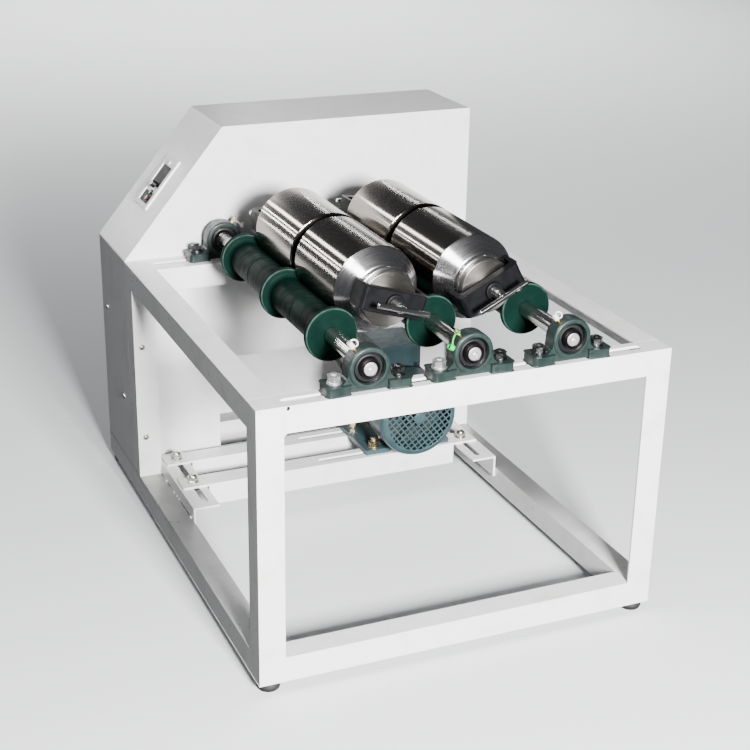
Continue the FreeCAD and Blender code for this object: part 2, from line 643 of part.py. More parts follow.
def make_bearings():
    """Pillow blocks of both rows: housings, sealed inserts and bolts."""
    half, base, rise = S.housing_length / 2, S.housing_base, S.bearing_rise
    block = body("pillow_block")
    relief, flank, edge = S.housing_relief, S.housing_flank, S.housing_edge
    pad_end, shoulder = half - S.housing_pad, half - S.housing_shoulder
    pad(block, outline(block, [
        (-half, 0), (-pad_end, 0), (relief - pad_end, relief), (pad_end - relief, relief), (pad_end, 0), (half, 0),
        (half, base - relief), (half - edge, base), (shoulder, base), (flank, base + S.housing_flank_rise),
        (flank, rise), (-flank, rise), (-flank, base + S.housing_flank_rise), (-shoulder, base),
        (edge - half, base), (-half, base - relief)], "block_side"),
        S.housing_ring_width, middle=True)
    pad(block, circles(block, [(0, rise, S.housing_radius)], "block_ring"), S.housing_ring_width, middle=True)
    for index, side in enumerate((-1, 1)):
        start, inner, outer, end = (length * side for length in (flank, pad_end - relief, pad_end, half))
        points = [(start, relief), (inner, relief), (outer, 0), (end, 0),
                  (end, base - relief), ((half - edge) * side, base), (start, base)]
        pad(block, outline(block, points if side > 0 else list(reversed(points)), f"block_foot{index}"),
            S.housing_width, middle=True)
    pocket(block, circles(block, [(0, rise, S.insert_radius)], "block_bore"))
    block.Placement = FreeCAD.Placement(FreeCAD.Vector(), FACE_FRONT)
    holes = [rod(f"foot_bolt_hole{index}", S.housing_bolt_hole / 2, base + 2, (S.bolt_spacing / 2 * side, 0, -1))
             for index, side in enumerate((-1, 1))]
    housing = cut("housing", block, *holes)

    inside, edge = S.inner_ring_radius + S.running_clearance, S.insert_width / 2
    insert = turning("insert_shape", [
        (inside, -edge), (S.insert_radius, -edge), (S.insert_radius, edge), (inside, edge)])
    rows = {"front": FRONT_BEARING_Y, "rear": REAR_BEARING_Y}
    inserts, bolts = [], []
    for row, y in rows.items():
        housings = []
        for index, x in enumerate(ROLLERS_X):
            name = f"{row}{index}"
            housings.append(copy_at(f"housing_{name}", housing, x, y, S.frame_top))
            inserts.append(copy_at(f"insert_{name}", insert, x, y, ROLLER_Z))
            for side in (-1, 1):
                bolts.append(bolt_set(f"block_bolt_{name}{side + 1}", x + S.bolt_spacing / 2 * side, y,
                                      S.frame_top + S.housing_base, S.housing_base + S.angle_wall,
                                      S.bearing_bolt_radius))
        node(group(f"{row}_housings", *housings), f"{row}_bearing_housings")
    node(group("inserts", *inserts), "bearing_inserts")
    node(group("block_bolts", *bolts), "bearing_bolts")


def make_sleeve(index, x):
    """Polyurethane sleeve of one roller with its limit discs, and a seam half way between them."""
    bore, small, big = S.shaft_radius, S.body_radius, S.disc_radius
    half, fillet, seam = S.disc_thickness / 2, S.disc_fillet, S.seam_depth
    points = [(bore, -S.disc_pitch - half)]
    for k in (-1, 0, 1):
        line = S.disc_pitch * k
        points += [(big, line - half), (big, line + half)]
        if k < 1:
            middle, following = line + S.disc_pitch / 2, line + S.disc_pitch - half
            points += [(small + fillet, line + half), (small, line + half + fillet), (small, middle - seam),
                       (small - seam, middle), (small, middle + seam), (small, following - fillet),
                       (small + fillet, following)]
    points.append((bore, S.disc_pitch + half))
    node(turning(f"sleeve{index}", points, (x, MIDDLE_DISC, ROLLER_Z)), f"roller_{index}_sleeve")


def make_rollers():
    """Shafts with their bearing inner rings, and the sleeves on them."""
    for index, x in enumerate(ROLLERS_X, start=1):
        journal, thick = S.journal_radius, S.shaft_radius
        front = FRONT_BEARING_Y + S.inner_ring_width / 2
        back = REAR_BEARING_Y - S.inner_ring_width / 2
        drive_end = BELT_Y + S.pulley_width / 2
        end = (drive_end if index == 2 else REAR_BEARING_Y + S.inner_ring_width / 2) + S.shaft_overhang
        begin = S.shaft_front
        ring, ring_front, ring_back = S.inner_ring_radius, front - S.inner_ring_width, back + S.inner_ring_width
        shaft = turning(f"shaft{index}", [
            (0, begin), (journal, begin), (journal, ring_front), (ring, ring_front), (ring, front), (thick, front),
            (thick, back), (ring, back), (ring, ring_back), (journal, ring_back), (journal, end), (0, end)],
            (x, 0, ROLLER_Z))
        node(shaft, f"roller_{index}_shaft")
        make_sleeve(index, x)


def wrap_points(inset, foot):
    """Cover section: left side, chamfer, top and right side, this far inside the outer face."""
    wide = S.frame_width
    rise = S.cover_top - S.frame_top
    slope = S.chamfer_width / rise
    slant = root(slope * slope + 1)
    knee = S.frame_top - inset * (slant - 1) / slope
    shoulder = S.chamfer_width + inset * (slant - slope)
    return [(inset, foot), (inset, knee), (shoulder, S.cover_top - inset), (wide - inset, S.cover_top - inset),
            (wide - inset, foot)]


def chamfer_point(along, across=0, out=0):
    """A point by its way up the chamfer, towards the rear, and out of the face."""
    wide, rise = S.chamfer_width, S.cover_top - S.frame_top
    slant = root(wide * wide + rise * rise)
    return (LEFT + (wide * along - rise * out) / slant, BEZEL_Y + across,
            S.frame_top + (rise * along + wide * out) / slant)


SLOPE = FreeCAD.Rotation(FreeCAD.Vector(0, 1, 0), math.degrees(math.atan2(
    S.chamfer_width.value, (S.cover_top - S.frame_top).value)))
OUTWARDS = SLOPE * FreeCAD.Rotation(FreeCAD.Vector(0, 0, 1), 90)


def on_chamfer(name, item):
    """An item drawn with Z up the slope, Y to the rear and X into the cover, put on the chamfer."""
    return copy_at(name, item, *chamfer_point(ZERO), SLOPE)


def panel(name, low, high, front):
    """A flat sheet inside the cover between two heights, or up to its top."""
    wall, wide = S.sheet_thickness, S.frame_width
    points = wrap_points(wall, low)
    if high is not None:
        points = [(wall, low), (wall, high), (wide - wall, high), (wide - wall, low)]
    return extrusion(name, points, wall, (LEFT, front + wall, 0), FACE_FRONT)


def make_cover():
    """Bent cover shell with its window, two front panels and the vented back panel."""
    wall, foot = S.sheet_thickness, RAIL_TOP
    front = S.cover_front
    section = wrap_points(ZERO, foot) + list(reversed(wrap_points(wall, foot)))
    shell = extrusion("cover_sheet", section, BACK - front, (LEFT, BACK, 0), FACE_FRONT)
    edge = S.display_width / 2 - 2
    window = box("window", (-3, -edge, S.display_start + 2),
                 (3, edge, S.display_start + S.display_length - 2))
    node(cut("cover", shell, on_chamfer("control_window", window)), "cover_shell")

    seam = S.frame_top - 6
    upper = panel("upper_sheet", seam, None, front)
    hole = rod("shaft_hole", S.shaft_hole_radius, wall + 2, (0, front + wall + 1, ROLLER_Z), FACE_FRONT)
    node(cut("upper_panel", upper, hole), "cover_upper_panel")
    lower = panel("lower_sheet", foot, seam, front)
    opening = box("motor_opening", (-S.cutout_lead, front - 1, S.cutout_bottom),
                  (HALF - S.cutout_margin, front + wall + 1, S.cutout_top))
    node(cut("lower_panel", lower, opening), "cover_lower_panel")
    back = panel("back_sheet", foot, None, BACK - wall)
    vents = []
    for column in (-1, 1):
        for line in range(6):
            x, z = S.vent_column * column, S.cutout_top + S.vent_pitch * line
            vents.append(box(f"vent{column + 1}{line}", (x - S.vent_length / 2, BACK - wall - 1, z),
                             (x + S.vent_length / 2, BACK + 1, z + S.vent_height)))
    node(cut("back_panel", back, *vents), "cover_back_panel")


def make_controls():
    """Bezel, display plate, speed knob and the two push buttons on the chamfer."""
    high, wide, length = S.bezel_height, S.bezel_width / 2, S.bezel_length
    start, end = S.display_start, S.display_start + S.display_length
    plate = S.display_width / 2
    block = box("bezel_block", (-high, -wide, S.bezel_start), (0, wide, S.bezel_start + length))
    recess = box("bezel_recess", (-high - 1, -plate, start), (1, plate, end))
    node(on_chamfer("bezel", cut("bezel_frame", block, recess)), "control_bezel")

    stem = S.knob_radius / 2
    slack = S.running_clearance
    plate_block = box("display_block", (-high / 2, -plate, start), (0, plate, end))
    sideways = FreeCAD.Rotation(FreeCAD.Vector(0, 1, 0), -90)
    holes = [
        rod("knob_hole", stem + slack, high, (1, 0, S.knob_place), sideways),
        rod("start_hole", S.button_radius + slack * 2, high, (1, -S.button_offset, S.start_place), sideways),
        rod("stop_hole", S.button_radius + slack * 2, high, (1, -S.button_offset, S.stop_place), sideways),
    ]
    node(on_chamfer("display", cut("display_plate", plate_block, *holes)), "control_display")

    knob = turning("knob_shape", [
        (0, -high / 2), (stem, -high / 2), (stem, 0.3), (S.knob_radius, 0.3), (S.knob_radius - 1, S.knob_height),
        (0, S.knob_height)])
    node(copy_at("knob", knob, *chamfer_point(S.knob_place, 0, high / 2), OUTWARDS), "speed_knob")
    button = turning("button_shape", [
        (0, -high / 2), (S.button_radius, -high / 2), (S.button_radius, S.button_height), (0, S.button_height)])
    for label, along in (("start_button", S.start_place), ("stop_button", S.stop_place)):
        spot = chamfer_point(along, -S.button_offset, high / 2)
        node(copy_at(f"{label}_piece", button, *spot, OUTWARDS), label)


JAR_REACH = S.jar_radius + S.body_radius + S.jar_roller_gap
JAR_Z = ROLLER_Z + root(JAR_REACH * JAR_REACH - S.roller_pitch * S.roller_pitch / 4)
NECK = S.jar_length + S.cone_length
LID_SEAT = NECK + S.groove_width + S.flange_thickness
LID_TOP = LID_SEAT + S.lid_thickness
YOKE_TOP = LID_TOP + S.yoke_gap + S.yoke_thickness
FLIP = FreeCAD.Rotation(FreeCAD.Vector(0, 0, 1), 180)
JARS = [
    # column of the row, end the lid faces, tilt of the clamp bar
    (-1, -1, -17),
    (1, -1, 27),
    (-1, 1, 0),
    (1, 1, -10),
]


def jar_shapes():
    """Shell, lid, clamp yoke and T-handle screw, each along its own Y axis."""
    wide, wall, length = S.jar_radius, S.jar_wall, S.jar_length
    bevel = S.bottom_bevel
    shell = turning("jar_shape", [
        (0, 0), (wide - bevel / 2, 0), (wide, bevel), (wide, length), (S.neck_radius, NECK),
        (S.groove_radius, NECK), (S.groove_radius, NECK + S.groove_width),
        (S.neck_radius, NECK + S.groove_width), (S.neck_radius, LID_SEAT), (S.mouth_radius, LID_SEAT),
        (S.mouth_radius, NECK), (wide - wall, length - wall / 2), (wide - wall, wall), (0, wall)])
    lid = turning("lid_shape", [
        (0, LID_SEAT), (S.lid_radius, LID_SEAT), (S.lid_radius, LID_TOP - 1), (S.lid_radius - 1, LID_TOP),
        (0, LID_TOP)])

    half, across = S.yoke_length / 2, S.yoke_width / 2
    play, bevel = S.yoke_play, S.yoke_bevel
    leg, hook = S.neck_radius + play, S.groove_radius + play
    hook_top = NECK + S.groove_width - play / 2
    hook_low = hook_top - S.hook_thickness
    under = LID_TOP + S.yoke_gap
    profile = [
        (-half, hook_low), (-hook, hook_low), (-hook, hook_top), (-leg, hook_top), (-leg, under - bevel),
        (bevel - leg, under), (leg - bevel, under), (leg, under - bevel), (leg, hook_top), (hook, hook_top),
        (hook, hook_low), (half, hook_low), (half, YOKE_TOP - bevel), (half - bevel, YOKE_TOP),
        (bevel - half, YOKE_TOP), (-half, YOKE_TOP - bevel)]
    bar = extrusion("yoke_bar", profile, S.yoke_width, middle=True)
    boss_top = YOKE_TOP + S.boss_height
    boss = rod("yoke_boss", S.screw_radius + 6, S.boss_height, (0, boss_top, 0), FACE_FRONT)
    hole = rod("yoke_hole", S.screw_radius + S.running_clearance, boss_top - LID_TOP,
               (0, boss_top + 1, 0), FACE_FRONT)
    yoke = cut("yoke_shape", join("yoke_solid", bar, boss), hole)

    tip, end = LID_TOP + 0.3, YOKE_TOP + S.screw_reach
    head = end - S.screw_head_length
    thread = S.screw_radius
    screw = turning("screw_shape", [
        (0, tip), (thread, tip), (thread, head), (S.screw_head_radius, head), (S.screw_head_radius - 1, end),
        (0, end)])
    handle = rod("tbar", S.tbar_radius, S.tbar_length, (-S.tbar_length / 2, (head + end) / 2, 0),
                 FreeCAD.Rotation(FreeCAD.Vector(0, 1, 0), 90))
    return shell, lid, yoke, join("screw_and_bar", screw, handle)


def make_jars():
    """Four jars, two in each row, bottoms towards the middle discs."""
    shell, lid, yoke, screw = jar_shapes()
    for index, (column, facing, tilt) in enumerate(JARS, start=1):
        x, y = S.roller_pitch / 2 * column, MIDDLE_DISC + S.jar_gap * facing
        turn = FreeCAD.Rotation(FreeCAD.Vector(0, 1, 0), -tilt)
        if facing < 0:
            turn = turn * FLIP
        for label, item in (("shell", shell), ("lid", lid), ("yoke", yoke), ("clamp_screw", screw)):
            node(copy_at(f"jar{index}_{label}", item, x, y, JAR_Z, turn), f"jar_{index}_{label}")


make_base()
make_posts()
make_top_rails()
make_feet()
make_motor_mount()
make_mount_bolts()
make_motor()
make_belt_drive()
make_bearings()
make_rollers()
make_cover()
make_controls()
make_jars()
doc.recompute()

broken = [item.Name for item in doc.Objects if {"Invalid", "Error"} & set(item.State)]
if broken:
    raise RuntimeError("failed: " + ", ".join(broken))
for item in nodes:
    if item.Shape.isNull() or not item.Shape.isValid():
        raise RuntimeError("bad shape: " + item.Label)

os.makedirs("parts", exist_ok=True)
for item in nodes:
    item.Shape.exportStep(f"parts/{item.Label}.step")
print(len(nodes), "sub-parts,", sum(len(item.Shape.Solids) for item in nodes), "solids")
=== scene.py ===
# Jar mill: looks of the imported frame, in metres, with +Y from the front to the cover.
import json
import math
import random
import bmesh
import bpy
from mathutils import Matrix, Vector


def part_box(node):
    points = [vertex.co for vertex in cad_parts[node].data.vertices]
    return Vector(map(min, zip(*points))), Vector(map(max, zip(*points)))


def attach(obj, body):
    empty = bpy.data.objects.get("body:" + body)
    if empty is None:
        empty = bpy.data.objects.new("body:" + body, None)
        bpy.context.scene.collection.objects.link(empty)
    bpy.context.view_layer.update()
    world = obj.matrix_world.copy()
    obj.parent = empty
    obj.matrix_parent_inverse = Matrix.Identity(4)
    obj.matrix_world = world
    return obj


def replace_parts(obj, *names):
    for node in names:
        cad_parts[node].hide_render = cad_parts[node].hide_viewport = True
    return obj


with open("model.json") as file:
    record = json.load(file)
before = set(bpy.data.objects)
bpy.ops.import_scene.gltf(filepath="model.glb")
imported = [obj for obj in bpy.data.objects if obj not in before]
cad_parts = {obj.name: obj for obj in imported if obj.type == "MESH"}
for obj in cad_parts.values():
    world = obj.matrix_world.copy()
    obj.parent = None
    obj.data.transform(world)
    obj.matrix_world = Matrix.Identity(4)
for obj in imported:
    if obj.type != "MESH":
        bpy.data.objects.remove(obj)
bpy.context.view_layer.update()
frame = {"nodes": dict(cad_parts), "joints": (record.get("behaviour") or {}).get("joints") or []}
NODES = frame["nodes"]
JOINTS = {joint["name"]: joint for joint in frame["joints"]}
MM = 0.001
random.seed(7)


# Materials

class Look:
    """A node material around one Principled shader."""

    def __init__(self, name, color, roughness, metallic=0.0):
        self.material = bpy.data.materials.new(name)
        self.material.use_nodes = True
        self.tree = self.material.node_tree
        self.shader = self.tree.nodes["Principled BSDF"]
        self.set(Base_Color=(*color, 1), Roughness=roughness, Metallic=metallic)
        self.place = self.add("ShaderNodeTexCoord").outputs["Object"]

    def feed(self, socket, value):
        """Links a socket, or sets a plain value."""
        if isinstance(value, bpy.types.NodeSocket):
            self.tree.links.new(value, socket)
        else:
            socket.default_value = value

    def set(self, **values):
        """Plain values on the shader's own sockets."""
        for name, value in values.items():
            self.shader.inputs[name.replace("_", " ")].default_value = value

    def add(self, kind, **values):
        """A node, its inputs fed by name."""
        item = self.tree.nodes.new(kind)
        for name, value in values.items():
            self.feed(item.inputs[name.replace("_", " ")], value)
        return item

    def math(self, operation, first, second=0.0):
        """A number worked out from one or two others."""
        item = self.tree.nodes.new("ShaderNodeMath")
        item.operation = operation
        self.feed(item.inputs[0], first)
        self.feed(item.inputs[1], second)
        return item.outputs["Value"]

    def noise(self, scale, detail=4, vector=None):
        """Cloudy pattern, at scale repeats per metre."""
        vector = vector or self.place
        return self.add("ShaderNodeTexNoise", Vector=vector, Scale=scale, Detail=detail).outputs["Fac"]

    def round_parts(self):
        """Distance from the local Y axis, place along it and angle round it."""
        parts = self.add("ShaderNodeSeparateXYZ", Vector=self.place).outputs
        squares = [self.math("MULTIPLY", parts[axis], parts[axis]) for axis in "XZ"]
        radius = self.math("SQRT", self.math("ADD", *squares))
        return radius, parts["Y"], self.math("ARCTAN2", parts["X"], parts["Z"])

    def round_place(self, around, along):
        """Coordinates for patterns that run round the local Y axis."""
        radius, place, angle = self.round_parts()
        return self.add("ShaderNodeCombineXYZ", X=self.math("MULTIPLY", radius, along),
                        Y=self.math("MULTIPLY", place, along),
                        Z=self.math("MULTIPLY", angle, around)).outputs["Vector"]

    def spread(self, value, low, high, start=0.0, end=1.0):
        """Maps a pattern between start and end to low and high."""
        return self.add("ShaderNodeMapRange", Value=value, From_Min=start, From_Max=end,
                        To_Min=low, To_Max=high).outputs["Result"]

    def blend(self, factor, first, second):
        """One colour or the other by a pattern."""
        item = self.tree.nodes.new("ShaderNodeMix")
        item.data_type = "RGBA"
        for index, value in ((0, factor), (6, first), (7, second)):
            self.feed(item.inputs[index], (*value, 1) if isinstance(value, tuple) else value)
        return item.outputs[2]

    def color(self, socket):
        self.tree.links.new(socket, self.shader.inputs["Base Color"])

    def rough(self, socket):
        self.tree.links.new(socket, self.shader.inputs["Roughness"])

    def bump(self, height, distance, strength=1.0):
        """Relief of this depth in metres, on top of earlier relief."""
        item = self.add("ShaderNodeBump", Height=height, Distance=distance, Strength=strength)
        before = self.shader.inputs["Normal"]
        if before.is_linked:
            self.tree.links.new(before.links[0].from_socket, item.inputs["Normal"])
        self.tree.links.new(item.outputs["Normal"], before)


def shade(color, share):
    """A colour made darker by a share of one."""
    return tuple(channel * share for channel in color)


def paint(name, color, roughness, grime, relief=0.00006, chips=0.78):
    """Sprayed paint: faint orange peel, uneven gloss, light grime and few chips."""
    look = Look(name, color, roughness)
    look.set(Coat_Weight=0.15, Coat_Roughness=0.2)
    cloud = look.spread(look.noise(4.5, 5), 0.0, 0.5, 0.35, 0.75)
    dirt = look.spread(look.noise(23, 8), 0.0, 0.45, 0.5, 0.8)
    tone = look.blend(dirt, look.blend(cloud, color, shade(color, 0.93)), grime)
    chip = look.spread(look.noise(58, 3), 0.0, 1.0, chips, chips + 0.015)
    bare_metal = (0.16, 0.14, 0.12)
    look.color(look.blend(chip, tone, bare_metal))
    look.rough(look.spread(look.noise(60, 4), roughness - 0.06, roughness + 0.1, 0.3, 0.7))
    look.bump(look.noise(900, 2), relief, 0.5)
    look.bump(look.noise(140, 2), relief * 2, 0.25)
    return look.material


def cast(name, color, roughness, dark):
    """Painted casting: sandy skin under thick enamel."""
    look = Look(name, color, roughness)
    look.set(Coat_Weight=0.12, Coat_Roughness=0.12, Specular_IOR_Level=0.35)
    tone = look.blend(look.spread(look.noise(35, 6), 0, 0.8, 0.4, 0.7), color, dark)
    pale_marks = look.spread(look.noise(210, 4), 0, 1, 0.73, 0.76)
    look.color(look.blend(pale_marks, tone, tuple(c * 1.9 + 0.02 for c in color)))
    look.rough(look.spread(look.noise(120, 4), roughness - 0.08, roughness + 0.15, 0.3, 0.7))
    look.bump(look.noise(650, 5), 0.0003, 0.5)
    look.bump(look.noise(90, 3), 0.0006, 0.35)
    return look.material


def steel(name, color, roughness, around=3, along=1800, streak=0.12, anisotropy=0.7, relief=0.00002):
    """Turned or ground bright steel: fine rings round the local Y axis."""
    look = Look(name, color, roughness, 1.0)
    look.set(Anisotropic=anisotropy, Anisotropic_Rotation=0.25)
    rings = look.noise(1.0, 6, vector=look.round_place(around, along))
    broad = look.noise(1.0, 3, vector=look.round_place(around / 2, along / 14))
    tone = look.blend(look.spread(rings, 0, 0.5, 0.35, 0.7), color, shade(color, 0.72))
    look.color(look.blend(look.spread(broad, 0, 0.35, 0.4, 0.75), tone, shade(color, 0.6)))
    look.rough(look.spread(rings, roughness - streak / 2, roughness + streak, 0.3, 0.7))
    if relief:
        look.bump(rings, relief, 0.35)
    if anisotropy > 0:
        tangent = look.tree.nodes.new("ShaderNodeTangent")
        tangent.direction_type = "RADIAL"
        tangent.axis = "Y"
        look.tree.links.new(tangent.outputs["Tangent"], look.shader.inputs["Tangent"])
    return look.material


def bolt_finish(name, color, roughness, spots):
    """Plated small steel parts with a cloudy finish."""
    look = Look(name, color, roughness, 1.0)
    look.color(look.blend(look.spread(look.noise(160, 5), 0, 0.7, 0.4, 0.7), color, spots))
    look.rough(look.spread(look.noise(300, 4), roughness - 0.08, roughness + 0.15, 0.3, 0.7))
    look.bump(look.noise(500, 3), 0.00005, 0.4)
    return look.material


def moulded(name, color, roughness, relief=0.0001, scale=700, coat=0.0, mottle=0.15, specular=0.5):
    """Moulded plastic or rubber with a fine grain."""
    look = Look(name, color, roughness)
    look.set(Coat_Weight=coat, Coat_Roughness=0.1, Specular_IOR_Level=specular)
    patches = look.spread(look.noise(18, 6), 0, 1, 0.35, 0.7)
    look.color(look.blend(patches, color, shade(color, 1 - mottle)))
    look.rough(look.spread(look.noise(90, 5), roughness - 0.07, roughness + 0.1, 0.3, 0.7))
    look.bump(look.noise(scale, 3), relief, 0.4)
    return look.material


def polyurethane():
    """Cast green polyurethane: deep colour, glossy skin, rubbed dusty tracks, and a painted highlight with
    some edge wear on the disc rims.
    """
    look = Look("polyurethane_skin", (0.002, 0.010, 0.007), 0.42)
    look.set(Specular_IOR_Level=0.018)
    clouds = look.spread(look.noise(16, 7), 0, 1, 0.35, 0.7)
    deep = look.blend(clouds, (0.0015, 0.0075, 0.0055), (0.0026, 0.0135, 0.0095))
    track = look.noise(1.0, 5, vector=look.round_place(1.4, 130))
    rub = look.spread(track, 0, 0.35, 0.52, 0.72)
    tone = look.blend(rub, deep, (0.005, 0.014, 0.011))
    # A pale ring on the rounded disc rims: painted highlight, broken up by noise like edge wear.
    rim = 0.0392
    from_rim = look.math("ABSOLUTE", look.math("SUBTRACT", look.round_parts()[0], rim))
    edge = look.spread(from_rim, 1, 0, 0.0004, 0.0012)
    pale_marks = look.math("MULTIPLY", edge, look.spread(look.noise(70, 4), 0.15, 1.0, 0.35, 0.6))
    look.color(look.blend(pale_marks, tone, (0.032, 0.058, 0.047)))
    look.rough(look.spread(track, 0.34, 0.6, 0.35, 0.7))
    look.bump(look.noise(1.0, 4, vector=look.round_place(2.5, 500)), 0.00008, 0.4)
    look.bump(look.noise(60, 3), 0.0005, 0.2)
    return look.material


FRAME_PAINT = paint("frame_enamel", (0.72, 0.72, 0.71), 0.33, (0.46, 0.45, 0.42))
COVER_PAINT = paint("cover_enamel", (0.66, 0.66, 0.655), 0.36, (0.5, 0.49, 0.47), 0.00004, 0.9)
HOUSING_PAINT = cast("housing_enamel", (0.0085, 0.0185, 0.016), 0.42, (0.005, 0.011, 0.0095))
MOTOR_PAINT = cast("motor_enamel", (0.030, 0.058, 0.064), 0.42, (0.018, 0.038, 0.043))
POLYURETHANE = polyurethane()
# Barrel and cone are one stainless steel; the barrel is painted darker, as painted shade of dim reflections,
# and the cone paler, as a painted highlight.
JAR_STEEL = steel("jar_stainless", (0.205, 0.184, 0.165), 0.14, 2.2, 1500, 0.03, 0.8, 0.0)
CONE_STEEL = steel("jar_cone_stainless", (0.45, 0.44, 0.44), 0.24, 2.2, 1100, 0.06, 0.8, 0.00001)
LID_STEEL = steel("lid_stainless", (0.20, 0.19, 0.172), 0.32, 2.5, 2600, 0.1, 0.6)
SHAFT_STEEL = steel("shaft_ground_steel", (0.60, 0.59, 0.57), 0.16, 2, 2200, 0.08, 0.6)
END_STEEL = steel("shaft_end_steel", (0.62, 0.58, 0.58), 0.5, 1.5, 2500, 0.08, 0.0)
RING_STEEL = steel("bearing_ring_steel", (0.09, 0.085, 0.085), 0.24, 1.5, 2500, 0.06, 0.4)
BRIGHT_SCREW = steel("plated_screw_steel", (0.72, 0.71, 0.69), 0.1, 1.5, 1200, 0.06, 0.3)
IRON = steel("machined_iron", (0.32, 0.31, 0.30), 0.38, 2, 1500, 0.12, 0.3)
BARE_IRON = bolt_finish("chipped_bare_iron", (0.03, 0.028, 0.027), 0.55, (0.06, 0.05, 0.045))
ZINC = bolt_finish("zinc_plated_steel", (0.62, 0.60, 0.56), 0.28, (0.38, 0.35, 0.30))
PALE_NUT = bolt_finish("dull_zinc_nut", (0.42, 0.43, 0.42), 0.5, (0.26, 0.27, 0.26))
DARK_BOLT = bolt_finish("blackened_bolt_steel", (0.07, 0.075, 0.075), 0.32, (0.16, 0.16, 0.15))
GOLD_BOLT = bolt_finish("yellow_zinc_steel", (0.62, 0.52, 0.33), 0.26, (0.42, 0.36, 0.26))
BRASS = bolt_finish("nipple_brass", (0.72, 0.50, 0.20), 0.24, (0.5, 0.33, 0.13))
SEAL = moulded("seal_black", (0.005, 0.005, 0.006), 0.45, 0.00004, 700, 0.0, 0.15, 0.3)
RUBBER = moulded("foot_black_rubber", (0.018, 0.018, 0.018), 0.62, 0.0002, 400)
BLACK_CLAMP = moulded("clamp_black_lacquer", (0.003, 0.003, 0.004), 0.45, 0.00004, 600, 0.0, 0.4, 0.12)
BELT = moulded("belt_black_rubber", (0.02, 0.02, 0.02), 0.7, 0.0002, 500)
BEZEL = moulded("bezel_pale_plastic", (0.80, 0.80, 0.78), 0.42, 0.00006, 900, 0.0, 0.05)
PANEL_FACE = moulded("panel_dark_foil", (0.0015, 0.0015, 0.002), 0.5, 0.00001, 900, 0.0, 0.15, 0.1)
SILVER_FACE = moulded("panel_silver_foil", (0.74, 0.72, 0.72), 0.35, 0.00002, 900)
KNOB = moulded("knob_black_plastic", (0.006, 0.006, 0.006), 0.38, 0.00005, 900, 0.0, 0.15, 0.3)
GREEN_KEY = moulded("start_green_plastic", (0.003, 0.022, 0.011), 0.25, 0.00003, 900, 0.3)
RED_KEY = moulded("stop_red_plastic", (0.045, 0.003, 0.008), 0.25, 0.00003, 900, 0.3)
FAN = moulded("fan_plastic", (0.03, 0.035, 0.035), 0.5)
GREEN_CAP = moulded("cap_green_plastic", (0.01, 0.42, 0.06), 0.3, 0.00003, 900, 0.3)
CLEAR_CAP = moulded("cap_white_plastic", (0.62, 0.64, 0.60), 0.32, 0.00003, 900, 0.3)


# Shapes

SMOOTH_ANGLE = 32


def piece(name, bm, look, body, place=None):
    """A mesh object that rides on a body, with one material or several."""
    bmesh.ops.recalc_face_normals(bm, faces=bm.faces)
    mesh = bpy.data.meshes.new(name)
    bm.to_mesh(mesh)
    bm.free()
    mesh.polygons.foreach_set("use_smooth", [True] * len(mesh.polygons))
    mesh.set_sharp_from_angle(angle=math.radians(SMOOTH_ANGLE))
    for material in look if isinstance(look, tuple) else [look]:
        mesh.materials.append(material)
    item = bpy.data.objects.new(name, mesh)
    bpy.context.scene.collection.objects.link(item)
    if place is not None:
        item.matrix_world = place
    item.modifiers.new("flat faces", "WEIGHTED_NORMAL").keep_sharp = True
    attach(item, body)
    return item


def eased(points, radius=0.8, steps=3, closed=False):
    """Rounds the corners of an outline in millimetres."""
    places = [Vector(point) for point in points]
    total = len(places)
    result = []
    for index, corner in enumerate(places):
        if not closed and index in (0, total - 1):
            result.append(corner)
            continue
        back, ahead = places[index - 1] - corner, places[(index + 1) % total] - corner
        reach = min(radius, back.length * 0.45, ahead.length * 0.45)
        if reach < 0.02:
            result.append(corner)
            continue
        start, end = corner + back.normalized() * reach, corner + ahead.normalized() * reach
        for step in range(steps + 1):
            part = step / steps
            result.append(start * (1 - part) ** 2 + corner * 2 * part * (1 - part) + end * part ** 2)
    return result


def turned(outline, steps=72, closed=False):
    """A mesh turned about the local Y axis from (radius, along) points in millimetres."""
    bm = bmesh.new()
    rings = []
    for radius, along in outline:
        if radius < 0.001:
            rings.append([bm.verts.new((0, along * MM, 0))] * steps)
            continue
        turns = [2 * math.pi * k / steps for k in range(steps)]
        rings.append([bm.verts.new((radius * MM * math.sin(turn), along * MM, radius * MM * math.cos(turn)))
                      for turn in turns])
    pairs = list(zip(rings, rings[1:]))
    if closed:
        pairs.append((rings[-1], rings[0]))
    for first, second in pairs:
        for k in range(steps):
            n = (k + 1) % steps
            corners = []
            for vert in (first[k], first[n], second[n], second[k]):
                if vert not in corners:
                    corners.append(vert)
            if len(corners) > 2:
                bm.faces.new(corners)
    return bm


def extruded(outline, low, high, axis="Y"):
    """A mesh between two places along Y or Z, from an outline in millimetres."""
    bm = bmesh.new()
    ends = []
    for w in (low, high):
        corners = [(u, w, v) if axis == "Y" else (u, v, w) for u, v in outline]
        ends.append([bm.verts.new(Vector(corner) * MM) for corner in corners])
    total = len(outline)
    for k in range(total):
        bm.faces.new((ends[0][k], ends[0][(k + 1) % total], ends[1][(k + 1) % total], ends[1][k]))
    bm.faces.new(ends[0])
    bm.faces.new(list(reversed(ends[1])))
    return bm


def ease_edges(bm, width, steps=2, angle=40):
    """Rounds a mesh's edges that are sharper than an angle."""
    bm.normal_update()
    edges = [edge for edge in bm.edges
             if len(edge.link_faces) == 2 and edge.calc_face_angle(0) > math.radians(angle)]
    if edges:
        bmesh.ops.bevel(bm, geom=edges, offset=width * MM, segments=steps, profile=0.5,
                        affect="EDGES", clamp_overlap=True)
    return bm


def node_mesh(node):
    """A CAD node's mesh with its flat faces whole again."""
    bm = bmesh.new()
    bm.from_mesh(NODES[node].data)
    bmesh.ops.remove_doubles(bm, verts=bm.verts, dist=0.00001)
    bmesh.ops.dissolve_limit(bm, angle_limit=math.radians(1.5), verts=bm.verts, edges=bm.edges)
    return bm


